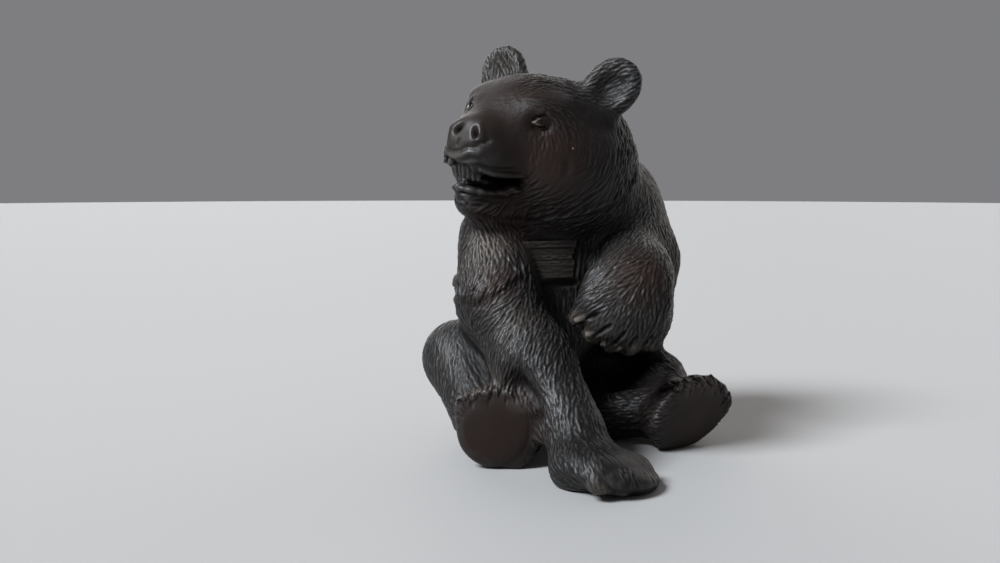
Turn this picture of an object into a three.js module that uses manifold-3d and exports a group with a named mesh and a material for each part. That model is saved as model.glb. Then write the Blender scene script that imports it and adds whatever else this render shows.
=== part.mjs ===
// Seated bear cub, a small figure cast in one piece.
// Millimetres. +Z is up, the chest faces -Y, and the bear's own left side is +X.
// The origin lies under the middle of the figure, on the surface that it sits on.
//
// The figure is modelled as clay is: rounded lumps are pressed together and hollows are pressed in.
// Each lump is a signed distance, the sum of them is polygonised, and the mesh is then thinned.

import * as THREE from "three";
import Module from "manifold-3d";

// Polygonising
const CELL = 1.25;
const TRIANGLES = 9300;
const ROOM = { low: [-48, -62, -7], high: [48, 62, 119] };

// Attitude of the head, in degrees
const HEAD_TURN = 60;
const HEAD_RAISE = 7;
const HEAD_TILT = -11.5;

// Blend widths, where two lumps run into each other
const SOFT = 9;
const FIRM = 4.5;
const CRISP = 1.6;

// Finish of the cast skin
const SKIN_COLOUR = 0x2b2825;
const SKIN_ROUGHNESS = 0.46;
const SKIN_METALNESS = 0.35;

const at = (x, y, z) => new THREE.Vector3(x, y, z);
const rad = THREE.MathUtils.degToRad;

// Places on the body
const PELVIS = at(5.9, 27.9, 19);
const BELLY = at(1.9, 18.9, 33);
const CHEST = at(-1.1, 19.9, 50);
const LAP = at(11.9, -0.6, 21);
const HUMP = at(19.4, 27.4, 67);
const BACK = at(9.9, 29.9, 41);
const TAIL = at(8.9, 50.9, 15);
const WITHERS = at(11.9, 24.9, 64);
const NAPE = at(-2.1, 18.9, 79);
const SKULL = at(-5.7, 15.9, 85);
const PANEL = at(-9.1, 1.9, 52);

const RIGHT_ARM = {
  shoulder: at(-19.6, 15.4, 57.5),
  elbow: at(-24.1, 3.9, 41),
  forearm: at(-19.6, -11.6, 26),
  wrist: at(-15.6, -30.1, 10.5),
  palm: at(-18.6, -37.6, 4),
  paw: at(-12, -42.6, 4.6),
};
const LEFT_ARM = {
  shoulder: at(19.9, 16.9, 61),
  upper: at(22.9, 10.9, 51),
  elbow: at(19.7, 7.9, 35.5),
  wrist: at(10.9, -10.6, 48.5),
  paw: at(3, -18.6, 41.9),
};
const RIGHT_LEG = {
  hip: at(-9.1, 22.9, 14),
  knee: at(-30.4, 17.9, 23.8),
  ankle: at(-30.1, -2.1, 10.5),
  heel: at(-22, -5, 5),
  sole: at(-32.3, -16.3, 10),
};
const LEFT_LEG = {
  hip: at(14.9, 18.9, 13),
  knee: at(25.4, 7.9, 14),
  shin: at(2.9, 5.4, 5.8),
  ankle: at(22.4, -6.1, 9.5),
  sole: at(27.4, -15.6, 9.5),
};

const RIGHT_FOOT = { length: 23.5, width: 23, skew: 1.6, spread: 0 };
const LEFT_FOOT = { length: 23.5, width: 26, skew: -4.5, spread: 1.5 };

// A rigid local frame: x along the given forward, z as near the given up as it can be, y to the left.
function frameAt(origin, forward, up) {
  const x = forward.clone().normalize();
  const y = up.clone().cross(x).normalize();
  const z = x.clone().cross(y);
  return new THREE.Matrix4().makeBasis(x, y, z).setPosition(origin);
}

// Signed distances. Each one is a function of x, y and z.
function egg(centre, rx, ry, rz) {
  return (x, y, z) => {
    const px = x - centre.x;
    const py = y - centre.y;
    const pz = z - centre.z;
    const near = Math.hypot(px / rx, py / ry, pz / rz);
    const slope = Math.hypot(px / (rx * rx), py / (ry * ry), pz / (rz * rz));
    return slope < 1e-9 ? -Math.min(rx, ry, rz) : (near * (near - 1)) / slope;
  };
}

function ball(centre, radius) {
  return (x, y, z) => Math.hypot(x - centre.x, y - centre.y, z - centre.z) - radius;
}

// A limb is two balls of different size with the cone between them.
function limb(from, to, fromRadius, toRadius) {
  const axis = to.clone().sub(from);
  const length2 = axis.lengthSq();
  const fall = fromRadius - toRadius;
  const a2 = length2 - fall * fall;
  const inverse = 1 / length2;
  return (x, y, z) => {
    const px = x - from.x;
    const py = y - from.y;
    const pz = z - from.z;
    const along = px * axis.x + py * axis.y + pz * axis.z;
    const beyond = along - length2;
    const qx = px * length2 - axis.x * along;
    const qy = py * length2 - axis.y * along;
    const qz = pz * length2 - axis.z * along;
    const x2 = qx * qx + qy * qy + qz * qz;
    const y2 = along * along * length2;
    const z2 = beyond * beyond * length2;
    const k = Math.sign(fall) * fall * fall * x2;
    if (Math.sign(beyond) * a2 * z2 > k) return Math.sqrt(x2 + z2) * inverse - toRadius;
    if (Math.sign(along) * a2 * y2 < k) return Math.sqrt(x2 + y2) * inverse - fromRadius;
    return (Math.sqrt(x2 * a2 * inverse) + along * fall) * inverse - fromRadius;
  };
}

// A plate of the given half sizes with rounded edges.
function plate(centre, hx, hy, hz, round) {
  return (x, y, z) => {
    const qx = Math.abs(x - centre.x) - hx + round;
    const qy = Math.abs(y - centre.y) - hy + round;
    const qz = Math.abs(z - centre.z) - hz + round;
    const outside = Math.hypot(Math.max(qx, 0), Math.max(qy, 0), Math.max(qz, 0));
    return outside + Math.min(Math.max(qx, qy, qz), 0) - round;
  };
}

// Everything behind a plane through a point, the normal looking out of the solid.
function behind(point, normal) {
  const n = normal.clone().normalize();
  const offset = n.dot(point);
  return (x, y, z) => n.x * x + n.y * y + n.z * z - offset;
}

function both(first, second, blend) {
  return (x, y, z) => -melt(-first(x, y, z), -second(x, y, z), blend);
}

// A shape given in a local frame, seen from the figure's frame.
function placed(frame, shape) {
  const m = frame.clone().invert().elements;
  return (x, y, z) => shape(
    m[0] * x + m[4] * y + m[8] * z + m[12],
    m[1] * x + m[5] * y + m[9] * z + m[13],
    m[2] * x + m[6] * y + m[10] * z + m[14],
  );
}

function melt(a, b, blend) {
  const h = Math.max(blend - Math.abs(a - b), 0) / blend;
  return Math.min(a, b) - 0.25 * h * h * blend;
}

// Lumps and hollows in the order in which they are worked.
class Clay {
  constructor() {
    this.strokes = [];
  }

  press(shape, blend = SOFT) {
    this.strokes.push((d, x, y, z) => melt(d, shape(x, y, z), blend));
  }

  hollow(shape, blend = CRISP) {
    this.strokes.push((d, x, y, z) => -melt(-d, shape(x, y, z), blend));
  }

  distance(x, y, z) {
    let d = 1e3;
    for (const stroke of this.strokes) d = stroke(d, x, y, z);
    return d;
  }
}

function modelTorso(clay) {
  clay.press(egg(PELVIS, 25, 24, 22));
  clay.press(egg(BELLY, 22.5, 20, 21));
  clay.press(egg(CHEST, 21.5, 18.5, 20));
  clay.press(egg(HUMP, 17, 17, 16));
  clay.press(egg(BACK, 18, 16, 22));
  clay.press(ball(TAIL, 4.2), FIRM);
}

function modelLeg(clay, leg, thigh, knee, ankle) {
  clay.press(limb(leg.hip, leg.knee, thigh, knee), FIRM);
  clay.press(limb(leg.knee, leg.ankle, knee - 0.5, ankle), FIRM);
}

// The lap between the left thigh and the belly is open at the front, with the shin lying across below it.
function modelLap(clay) {
  clay.hollow(egg(LAP, 11.5, 15, 8.5), FIRM);
  clay.press(limb(LEFT_LEG.shin, LEFT_LEG.ankle, 6.6, 7.2), CRISP);
}

// A hind foot seen from its flat sole: x runs to the toes, z out of the top of the foot.
function modelFoot(clay, sole, toesToward, solesToward, size) {
  const { length, width, skew, spread } = size;
  const frame = frameAt(sole, toesToward, solesToward.clone().negate());
  const depth = 9;
  const flat = behind(at(0, 0, 0), at(0, 0, -1));
  const ball = egg(at(length * 0.08, spread, 0), length * 0.36, width * 0.46, depth);
  const heel = egg(at(-length * 0.2, skew, 0), length * 0.34, width * 0.38, depth);
  const pad = (x, y, z) => melt(ball(x, y, z), heel(x, y, z), SOFT);
  clay.press(placed(frame, both(pad, flat, 2.2)), FIRM);
  const toes = 5;
  const toe = width / (toes * 1.75);
  for (let i = 0; i < toes; i += 1) {
    const across = (i / (toes - 1) - 0.5) * (width - 2 * toe);
    const reach = length * 0.5 - toe - (across * across) / (width * 1.1);
    const knuckle = at(0, across * 0.8, toe * 1.6);
    const end = at(reach, across + spread, toe * 0.7);
    clay.press(placed(frame, limb(knuckle, end, toe * 1.2, toe)), CRISP);
    const root = at(reach + 0.5 * toe, across + spread, toe * 1.2);
    const tip = at(reach + 0.9 * toe, across + spread, toe * 0.2);
    clay.press(placed(frame, limb(root, tip, 1.2, 0.8)), CRISP);
  }
}

// A fore paw: x runs to the claws, z out of the back of the paw.
function modelPaw(clay, frame, size) {
  const { length, width, thick, claw } = size;
  clay.press(placed(frame, egg(at(-length * 0.07, 0, 0), length * 0.51, width * 0.48, thick * 0.5)), FIRM);
  const toes = 5;
  const toe = width / (toes * 1.8);
  for (let i = 0; i < toes; i += 1) {
    const across = (i / (toes - 1) - 0.5) * (width - 1.8 * toe);
    const reach = length * 0.5 - toe * 0.9 - (across * across) / (width * 1.05);
    const drop = toe - thick * 0.46;
    const knuckle = at(length * 0.1, across * 0.8, thick * 0.12);
    clay.press(placed(frame, limb(knuckle, at(reach, across, drop), toe * 1.15, toe)), CRISP);
    const root = at(reach + toe * 0.5, across, drop + toe * 0.2);
    const tip = at(reach + toe * 0.5 + claw, across * 0.97, drop - toe * 0.6);
    clay.press(placed(frame, limb(root, tip, 1.25, 0.8)), CRISP);
  }
}

function modelRightArm(clay) {
  const arm = RIGHT_ARM;
  clay.press(limb(arm.shoulder, arm.elbow, 12, 11.5), FIRM);
  clay.press(limb(arm.elbow, arm.forearm, 10.5, 10.6), FIRM);
  clay.press(limb(arm.forearm, arm.wrist, 10.4, 8.2), FIRM);
  clay.press(ball(arm.palm, 7), FIRM);
  const frame = frameAt(arm.paw, at(0.5, -1, -0.12), at(0.16, 0.08, 1));
  modelPaw(clay, frame, { length: 23, width: 27, thick: 11, claw: 1.4 });
}

function modelLeftArm(clay) {
  const arm = LEFT_ARM;
  clay.press(limb(arm.shoulder, arm.upper, 12.5, 11), FIRM);
  clay.press(limb(arm.upper, arm.elbow, 11, 10.5), FIRM);
  clay.press(limb(arm.elbow, arm.wrist, 10.5, 9), FIRM);
  clay.press(limb(arm.shoulder, arm.wrist, 9.5, 7.5), SOFT);
  const frame = frameAt(arm.paw, at(-0.42, -0.25, -0.86), at(-0.3, -0.9, 0.3));
  modelPaw(clay, frame, { length: 26, width: 26.5, thick: 13.5, claw: 1.2 });
}

function headFrame() {
  const turn = rad(HEAD_TURN);
  const raise = rad(HEAD_RAISE);
  const forward = at(-Math.sin(turn) * Math.cos(raise), -Math.cos(turn) * Math.cos(raise), Math.sin(raise));
  const up = at(0, 0, 1).applyAxisAngle(forward, rad(HEAD_TILT));
  return frameAt(SKULL, forward, up);
}

// The head is worked in its own frame: x to the nose, y to the bear's left, z to the crown.
function modelHead(clay) {
  const frame = headFrame();
  const press = (shape, blend) => clay.press(placed(frame, shape), blend);
  const hollow = (shape, blend) => clay.hollow(placed(frame, shape), blend);

  clay.press(limb(NAPE, WITHERS, 20, 17), SOFT);
  press(egg(at(1, 0, 0.6), 22, 23, 18), SOFT);
  press(egg(at(-7.5, 7, -5), 16.5, 16.5, 18), SOFT);
  press(egg(at(12, 0, 3), 14, 15.5, 12), SOFT);
  press(egg(at(-2, 6, 9.5), 9, 8, 8), FIRM);
  press(limb(at(14, 0, -3.5), at(24.5, 0, -4.5), 13.8, 9.8), FIRM);
  press(egg(at(26, 0, -8), 8, 11, 5.8), FIRM);
  press(limb(at(8, 0, -15), at(24.5, 0, -19), 10, 5.6), FIRM);
  press(egg(at(30, 0, -1.6), 3.8, 7, 4.8), 2.5);
  for (const side of [-1, 1]) {
    press(egg(at(2, side * 13, -9), 16, 12, 12), SOFT);
    press(egg(at(15.5, side * 10.5, 8.5), 6, 4.5, 2.8), FIRM);
    hollow(egg(at(20.2, side * 13.2, 4.8), 2.6, 2.2, 1.7), CRISP);
    press(ball(at(18.2, side * 11.9, 4.8), 2.1), CRISP);
    hollow(ball(at(33.8, side * 3.4, -2), 1.7), CRISP);
  }
  const bite = frame.clone().multiply(frameAt(at(26, 0, -12.8), at(1, 0, -0.3), at(0, 0, 1)));
  clay.hollow(placed(bite, egg(at(0, 0, 0), 15, 13, 1.9)), CRISP);
  for (const side of [-1, 1]) modelEar(clay, frame, side);
}

// An ear: x out of its open face, y across it, z to its tip.
function modelEar(clay, head, side) {
  const lean = rad(32);
  const base = at(1 - 0.6 * side, side * 18.9 - 0.4, 17.55 + 1.05 * side);
  const tip = at(-0.12, side * Math.sin(lean), Math.cos(lean));
  const face = at(1, side * 0.15 + 0.25, 0.1);
  const local = frameAt(base, face, tip);
  const frame = head.clone().multiply(local);
  clay.press(placed(frame, egg(at(0, 0, 1), 3.6, 8.3, 9.2)), FIRM);
  clay.hollow(placed(frame, egg(at(4, 0, 1.5), 3.2, 5.4, 6.2)), CRISP);
}

// The chest bears a small flat panel.
function modelPanel(clay) {
  const frame = frameAt(PANEL, at(1, -0.05, 0), at(-0.05, -0.98, 0.15));
  clay.press(placed(frame, plate(at(0, 0, -0.4), 6.8, 5.8, 1.3, 0.5)), 1);
}

// Marching tetrahedra: six to each cell of a square grid, with the cut edges shared.
function polygonise(clay, low, high, cell) {
  const count = ["x", "y", "z"].map((k) => Math.ceil((high[k] - low[k]) / cell) + 1);
  const [nx, ny, nz] = count;
  const field = new Float32Array(nx * ny * nz);
  const index = (i, j, k) => i + nx * (j + ny * k);
  for (let k = 0; k < nz; k += 1) {
    for (let j = 0; j < ny; j += 1) {
      for (let i = 0; i < nx; i += 1) {
        const d = clay.distance(low.x + i * cell, low.y + j * cell, low.z + k * cell);
        field[index(i, j, k)] = Math.abs(d) < 1e-4 ? 1e-4 : d;
      }
    }
  }
  const points = [];
  const faces = [];
  const shared = new Map();
  const corner = (n) => [n % nx, Math.floor(n / nx) % ny, Math.floor(n / (nx * ny))];
  const cut = (a, b) => {
    const key = a < b ? a * field.length + b : b * field.length + a;
    if (shared.has(key)) return shared.get(key);
    const t = THREE.MathUtils.clamp(field[a] / (field[a] - field[b]), 0.1, 0.9);
    const p = corner(a);
    const q = corner(b);
    points.push([0, 1, 2].map((c) => [low.x, low.y, low.z][c] + cell * (p[c] + t * (q[c] - p[c]))));
    shared.set(key, points.length - 1);
    return points.length - 1;
  };
  const steps = [[0, 1, 2], [0, 2, 1], [1, 0, 2], [1, 2, 0], [2, 0, 1], [2, 1, 0]];
  const even = [true, false, false, true, true, false];
  const face = (a, b, c, keep) => faces.push(keep ? [a, b, c] : [a, c, b]);
  for (let k = 0; k < nz - 1; k += 1) {
    for (let j = 0; j < ny - 1; j += 1) {
      for (let i = 0; i < nx - 1; i += 1) {
        const first = field[index(i, j, k)] < 0;
        let mixed = false;
        for (let c = 1; c < 8 && !mixed; c += 1) {
          mixed = field[index(i + (c & 1), j + ((c >> 1) & 1), k + (c >> 2))] < 0 !== first;
        }
        if (!mixed) continue;
        steps.forEach((order, s) => {
          const here = [i, j, k];
          const tet = [index(...here)];
          for (const axis of order) {
            here[axis] += 1;
            tet.push(index(...here));
          }
          const inside = tet.filter((n) => field[n] < 0);
          const outside = tet.filter((n) => field[n] >= 0);
          if (!inside.length || !outside.length) return;
          const ranks = [...inside, ...outside].map((n) => tet.indexOf(n));
          let swaps = 0;
          for (let a = 0; a < 4; a += 1) {
            for (let b = a + 1; b < 4; b += 1) swaps += ranks[a] > ranks[b] ? 1 : 0;
          }
          const keep = (swaps % 2 === 0) === even[s];
          if (inside.length === 1) {
            const [p, q, r] = outside.map((n) => cut(inside[0], n));
            face(p, q, r, keep);
          } else if (inside.length === 3) {
            const [p, q, r] = inside.map((n) => cut(n, outside[0]));
            face(p, q, r, keep);
          } else {
            const p = cut(inside[0], outside[0]);
            const q = cut(inside[0], outside[1]);
            const r = cut(inside[1], outside[1]);
            const t = cut(inside[1], outside[0]);
            face(p, q, r, keep);
            face(p, r, t, keep);
          }
        });
      }
    }
  }
  return { points, faces };
}

// A heap of edges, cheapest first.
class Heap {
  constructor() {
    this.items = [];
  }

  push(item) {
    const list = this.items;
    let i = list.push(item) - 1;
    while (i > 0) {
      const parent = (i - 1) >> 1;
      if (list[parent].cost <= item.cost) break;
      list[i] = list[parent];
      i = parent;
    }
    list[i] = item;
  }

  pop() {
    const list = this.items;
    const top = list[0];
    const last = list.pop();
    if (!list.length) return top;
    let i = 0;
    for (;;) {
      let child = 2 * i + 1;
      if (child >= list.length) break;
      if (child + 1 < list.length && list[child + 1].cost < list[child].cost) child += 1;
      if (list[child].cost >= last.cost) break;
      list[i] = list[child];
      i = child;
    }
    list[i] = last;
    return top;
  }
}

// Thins a closed mesh by joining the two ends of its least telling edges, one edge at a time.
function thin(mesh, target) {
  const p = mesh.points;
  const faces = mesh.faces;
  const around = p.map(() => new Set());
  const quadric = p.map(() => new Float64Array(10));
  const stamp = new Int32Array(p.length);
  const gone = new Uint8Array(p.length);
  const dropped = new Uint8Array(faces.length);
  let left = faces.length;

  const cross = (a, b, c) => {
    const ux = b[0] - a[0];
    const uy = b[1] - a[1];
    const uz = b[2] - a[2];
    const vx = c[0] - a[0];
    const vy = c[1] - a[1];
    const vz = c[2] - a[2];
    return [uy * vz - uz * vy, uz * vx - ux * vz, ux * vy - uy * vx];
  };

  faces.forEach((f, n) => {
    const [a, b, c] = f.map((v) => p[v]);
    const normal = cross(a, b, c);
    const area = Math.hypot(...normal) || 1e-12;
    const [nx, ny, nz] = normal.map((v) => v / area);
    const d = -(nx * a[0] + ny * a[1] + nz * a[2]);
    const terms = [nx * nx, nx * ny, nx * nz, nx * d, ny * ny, ny * nz, ny * d, nz * nz, nz * d, d * d];
    for (const v of f) {
      around[v].add(n);
      terms.forEach((t, i) => {
        quadric[v][i] += t * area;
      });
    }
  });

  const error = (q, [x, y, z]) => q[0] * x * x + 2 * q[1] * x * y + 2 * q[2] * x * z + 2 * q[3] * x
    + q[4] * y * y + 2 * q[5] * y * z + 2 * q[6] * y + q[7] * z * z + 2 * q[8] * z + q[9];

  const best = (q, a, b) => {
    const mid = [0, 1, 2].map((i) => 0.5 * (a[i] + b[i]));
    const size = Math.hypot(b[0] - a[0], b[1] - a[1], b[2] - a[2]);
    const soft = 1e-3 * (q[0] + q[4] + q[7]) + 1e-9;
    const m = new THREE.Matrix3().set(
      q[0] + soft, q[1], q[2],
      q[1], q[4] + soft, q[5],
      q[2], q[5], q[7] + soft,
    );
    if (Math.abs(m.determinant()) < 1e-12) return mid;
    const right = at(soft * mid[0] - q[3], soft * mid[1] - q[6], soft * mid[2] - q[8]);
    const spot = right.applyMatrix3(m.invert()).toArray();
    return Math.hypot(...spot.map((v, i) => v - mid[i])) < size ? spot : mid;
  };

  const neighbours = (v) => {
    const ring = new Set();
    for (const n of around[v]) for (const w of faces[n]) if (w !== v) ring.add(w);
    return ring;
  };

  const heap = new Heap();
  const offer = (a, b) => {
    const q = quadric[a].map((v, i) => v + quadric[b][i]);
    const spot = best(q, p[a], p[b]);
    const size2 = p[a].reduce((sum, v, i) => sum + (v - p[b][i]) ** 2, 0);
    heap.push({ cost: error(q, spot) + 1e-4 * size2, a, b, spot, marks: [stamp[a], stamp[b]] });
  };
  for (const f of faces) {
    for (let i = 0; i < 3; i += 1) {
      const a = f[i];
      const b = f[(i + 1) % 3];
      if (a < b) offer(a, b);
    }
  }

  const turns = (v, other, spot) => {
    for (const n of around[v]) {
      const f = faces[n];
      if (f.includes(other)) continue;
      const before = cross(...f.map((w) => p[w]));
      const after = cross(...f.map((w) => (w === v ? spot : p[w])));
      const dot = before[0] * after[0] + before[1] * after[1] + before[2] * after[2];
      const size = Math.hypot(...after);
      if (size < 1e-3 || dot < 0.3 * Math.hypot(...before) * size) return true;
    }
    return false;
  };

  while (left > target && heap.items.length) {
    const { a, b, spot, marks } = heap.pop();
    if (gone[a] || gone[b] || stamp[a] !== marks[0] || stamp[b] !== marks[1]) continue;
    const ringA = neighbours(a);
    const ringB = neighbours(b);
    const common = [...ringA].filter((v) => ringB.has(v));
    if (common.length !== 2 || common.some((v) => around[v].size <= 3)) continue;
    if (turns(a, b, spot) || turns(b, a, spot)) continue;
    for (const n of [...around[b]]) {
      if (faces[n].includes(a)) {
        for (const v of faces[n]) around[v].delete(n);
        dropped[n] = 1;
        left -= 1;
      } else {
        faces[n] = faces[n].map((v) => (v === b ? a : v));
        around[a].add(n);
      }
    }
    gone[b] = 1;
    p[a] = spot;
    stamp[a] += 1;
    quadric[b].forEach((v, i) => {
      quadric[a][i] += v;
    });
    for (const v of neighbours(a)) offer(a, v);
  }
  const names = new Map();
  const points = [];
  const kept = faces.filter((f, n) => !dropped[n]).map((f) => f.map((v) => {
    if (!names.has(v)) {
      names.set(v, points.length);
      points.push(p[v]);
    }
    return names.get(v);
  }));
  return { points, faces: kept };
}

// Trims the mesh level at z = 0, so that the figure rests on flats under its rump, heels and paw.
async function trimBelow(mesh, depth, reach) {
  const wasm = await Module();
  wasm.setup();
  const solid = new wasm.Manifold(new wasm.Mesh({
    numProp: 3,
    vertProperties: new Float32Array(mesh.points.flat()),
    triVerts: new Uint32Array(mesh.faces.flat()),
  }));
  const floor = new THREE.BoxGeometry(2 * reach, 2 * reach, 2 * depth).translate(0, 0, -depth);
  const corners = [];
  const sides = [];
  const seen = new Map();
  const position = floor.getAttribute("position");
  const names = [...Array(position.count).keys()].map((i) => {
    const point = [position.getX(i), position.getY(i), position.getZ(i)];
    const key = point.join(" ");
    if (!seen.has(key)) {
      seen.set(key, seen.size);
      corners.push(...point);
    }
    return seen.get(key);
  });
  for (const i of floor.index.array) sides.push(names[i]);
  const block = new wasm.Manifold(new wasm.Mesh({
    numProp: 3,
    vertProperties: new Float32Array(corners),
    triVerts: new Uint32Array(sides),
  }));
  const cut = wasm.Manifold.difference(solid, block).getMesh();
  const geometry = new THREE.BufferGeometry();
  const count = cut.vertProperties.length / cut.numProp;
  const flat = new Float32Array(3 * count);
  for (let i = 0; i < count; i += 1) {
    for (let c = 0; c < 3; c += 1) flat[3 * i + c] = cut.vertProperties[cut.numProp * i + c];
  }
  geometry.setAttribute("position", new THREE.BufferAttribute(flat, 3));
  geometry.setIndex(new THREE.BufferAttribute(new Uint32Array(cut.triVerts), 1));
  return geometry;
}

const clay = new Clay();
modelTorso(clay);
modelLeg(clay, RIGHT_LEG, 15, 10.5, 9);
modelLeg(clay, LEFT_LEG, 15, 10.5, 9);
modelLap(clay);
clay.press(ball(RIGHT_LEG.heel, 7.5), FIRM);
modelFoot(clay, RIGHT_LEG.sole, at(0.12, 0.1, 1), at(-0.35, -0.92, 0), RIGHT_FOOT);
modelFoot(clay, LEFT_LEG.sole, at(0.36, -0.12, 0.93), at(0.3, -0.95, -0.1), LEFT_FOOT);
modelHead(clay);
modelRightArm(clay);
modelLeftArm(clay);
modelPanel(clay);

const raw = polygonise(clay, at(...ROOM.low), at(...ROOM.high), CELL);
const skin = thin(raw, TRIANGLES);
const geometry = await trimBelow(skin, 20, 120);

// The box of the finished figure is centred over the origin.
geometry.computeBoundingBox();
const middle = geometry.boundingBox.getCenter(at(0, 0, 0));
geometry.translate(-middle.x, -middle.y, 0);
geometry.computeVertexNormals();

const material = new THREE.MeshStandardMaterial({
  color: SKIN_COLOUR,
  roughness: SKIN_ROUGHNESS,
  metalness: SKIN_METALNESS,
});
const bear = new THREE.Mesh(geometry, material);
bear.name = "bear";
const figure = new THREE.Group();
figure.name = "seated_bear";
figure.add(bear);

export default figure;
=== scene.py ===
"""Seated bear cub cast in one piece: its worked form, its carved coat and its dark patina.

Everything is worked in millimetres in the figure's own frame and brought to metres at the end.
"""
import logging
import math
from dataclasses import dataclass, field
from enum import Enum

import bpy
import numpy as np
from mathutils import Matrix, Vector
from mathutils.geometry import tessellate_polygon
from mathutils.kdtree import KDTree


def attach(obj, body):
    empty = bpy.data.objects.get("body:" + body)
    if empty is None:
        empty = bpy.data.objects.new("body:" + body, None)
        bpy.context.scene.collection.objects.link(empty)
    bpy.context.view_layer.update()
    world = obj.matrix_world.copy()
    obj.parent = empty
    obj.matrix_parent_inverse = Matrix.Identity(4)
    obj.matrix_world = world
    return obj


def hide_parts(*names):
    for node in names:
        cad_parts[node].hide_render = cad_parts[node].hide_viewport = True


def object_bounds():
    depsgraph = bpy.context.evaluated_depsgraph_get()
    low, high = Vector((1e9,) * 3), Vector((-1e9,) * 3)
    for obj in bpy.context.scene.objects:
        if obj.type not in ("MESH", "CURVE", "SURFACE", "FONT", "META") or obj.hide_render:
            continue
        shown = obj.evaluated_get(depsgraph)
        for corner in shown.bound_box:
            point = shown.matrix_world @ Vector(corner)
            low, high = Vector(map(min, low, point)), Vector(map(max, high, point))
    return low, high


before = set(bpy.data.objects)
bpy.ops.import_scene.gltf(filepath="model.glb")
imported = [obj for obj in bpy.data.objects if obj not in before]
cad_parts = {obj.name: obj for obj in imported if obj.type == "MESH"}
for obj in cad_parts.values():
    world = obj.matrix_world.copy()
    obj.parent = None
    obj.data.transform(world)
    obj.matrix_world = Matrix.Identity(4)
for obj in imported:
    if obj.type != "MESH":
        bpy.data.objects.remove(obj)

CAST_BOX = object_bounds()
MM = 0.001
Place = tuple[float, float, float]
log = logging.getLogger("bear")

# How far the carving tools reach, in their own half widths
GROOVE_REACH = 3.0
STEP_REACH = 3.4
STEP_BODY = 1.6
STEP_EDGE = 1.8
STEP_SHARE = 0.6
STEP_ENDS = 0.2
DENT_REACH = 2.6
EASE_REACH = 1.6


# Bench work


def only(obj: bpy.types.Object) -> bpy.types.Object:
    """Selects one object alone, makes it the active one and returns it."""
    bpy.ops.object.select_all(action="DESELECT")
    obj.select_set(True)
    bpy.context.view_layer.objects.active = obj
    return obj


def finish_with(obj: bpy.types.Object, kind: str, **settings: object) -> None:
    """Adds one modifier to an object and applies it.

    Args:
        obj: The object to work on.
        kind: The modifier's type.
        settings: Values for the modifier's fields.
    """
    only(obj)
    modifier = obj.modifiers.new(kind.title(), kind)
    for name, value in settings.items():
        setattr(modifier, name, value)
    bpy.ops.object.modifier_apply(modifier=modifier.name)


def unit(v: np.ndarray) -> np.ndarray:
    """Returns vectors of length one along the last axis."""
    return v / np.maximum(np.linalg.norm(v, axis=-1, keepdims=True), 1e-12)


@dataclass(frozen=True)
class Seat:
    """A local frame on the figure: x forward, y to its left, z up."""

    origin: Place
    forward: Place
    up: Place

    def axes(self) -> np.ndarray:
        """Returns the three axes as rows."""
        x = unit(np.array(self.forward, float))
        y = unit(np.cross(self.up, x))
        return np.array([x, y, np.cross(x, y)])

    def at(self, x: float, y: float, z: float) -> np.ndarray:
        """Returns the figure's own place of a local point."""
        return np.array(self.origin) + np.array([x, y, z], float) @ self.axes()

    def path(self, *points: Place) -> np.ndarray:
        """Returns a run of local points in the figure's frame."""
        return np.array([self.at(*p) for p in points])

    def matrix(self) -> Matrix:
        """Returns the frame as a matrix that places a local shape."""
        turned = Matrix(self.axes().T.tolist()).to_4x4()
        turned.translation = Vector(self.origin)
        return turned


HEAD = Seat((-5.8, 15.9, 85.0), (-0.8596, -0.4963, 0.1219), (0.2031, -0.1129, 0.9726))
RIGHT_PAW = Seat((-12.1, -42.6, 4.6), (0.5, -1.0, -0.12), (0.16, 0.08, 1.0))
LEFT_PAW = Seat((2.9, -18.6, 41.9), (-0.42, -0.25, -0.86), (-0.3, -0.9, 0.3))
RIGHT_SOLE = Seat((-32.4, -16.3, 10.0), (0.12, 0.1, 1.0), (0.35, 0.92, 0.0))
LEFT_SOLE = Seat((27.3, -15.6, 9.5), (0.36, -0.12, 0.93), (-0.3, 0.95, 0.1))
PANEL = Seat((-9.2, 1.9, 52.0), (1.0, -0.05, 0.0), (-0.05, -0.98, 0.15))


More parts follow.
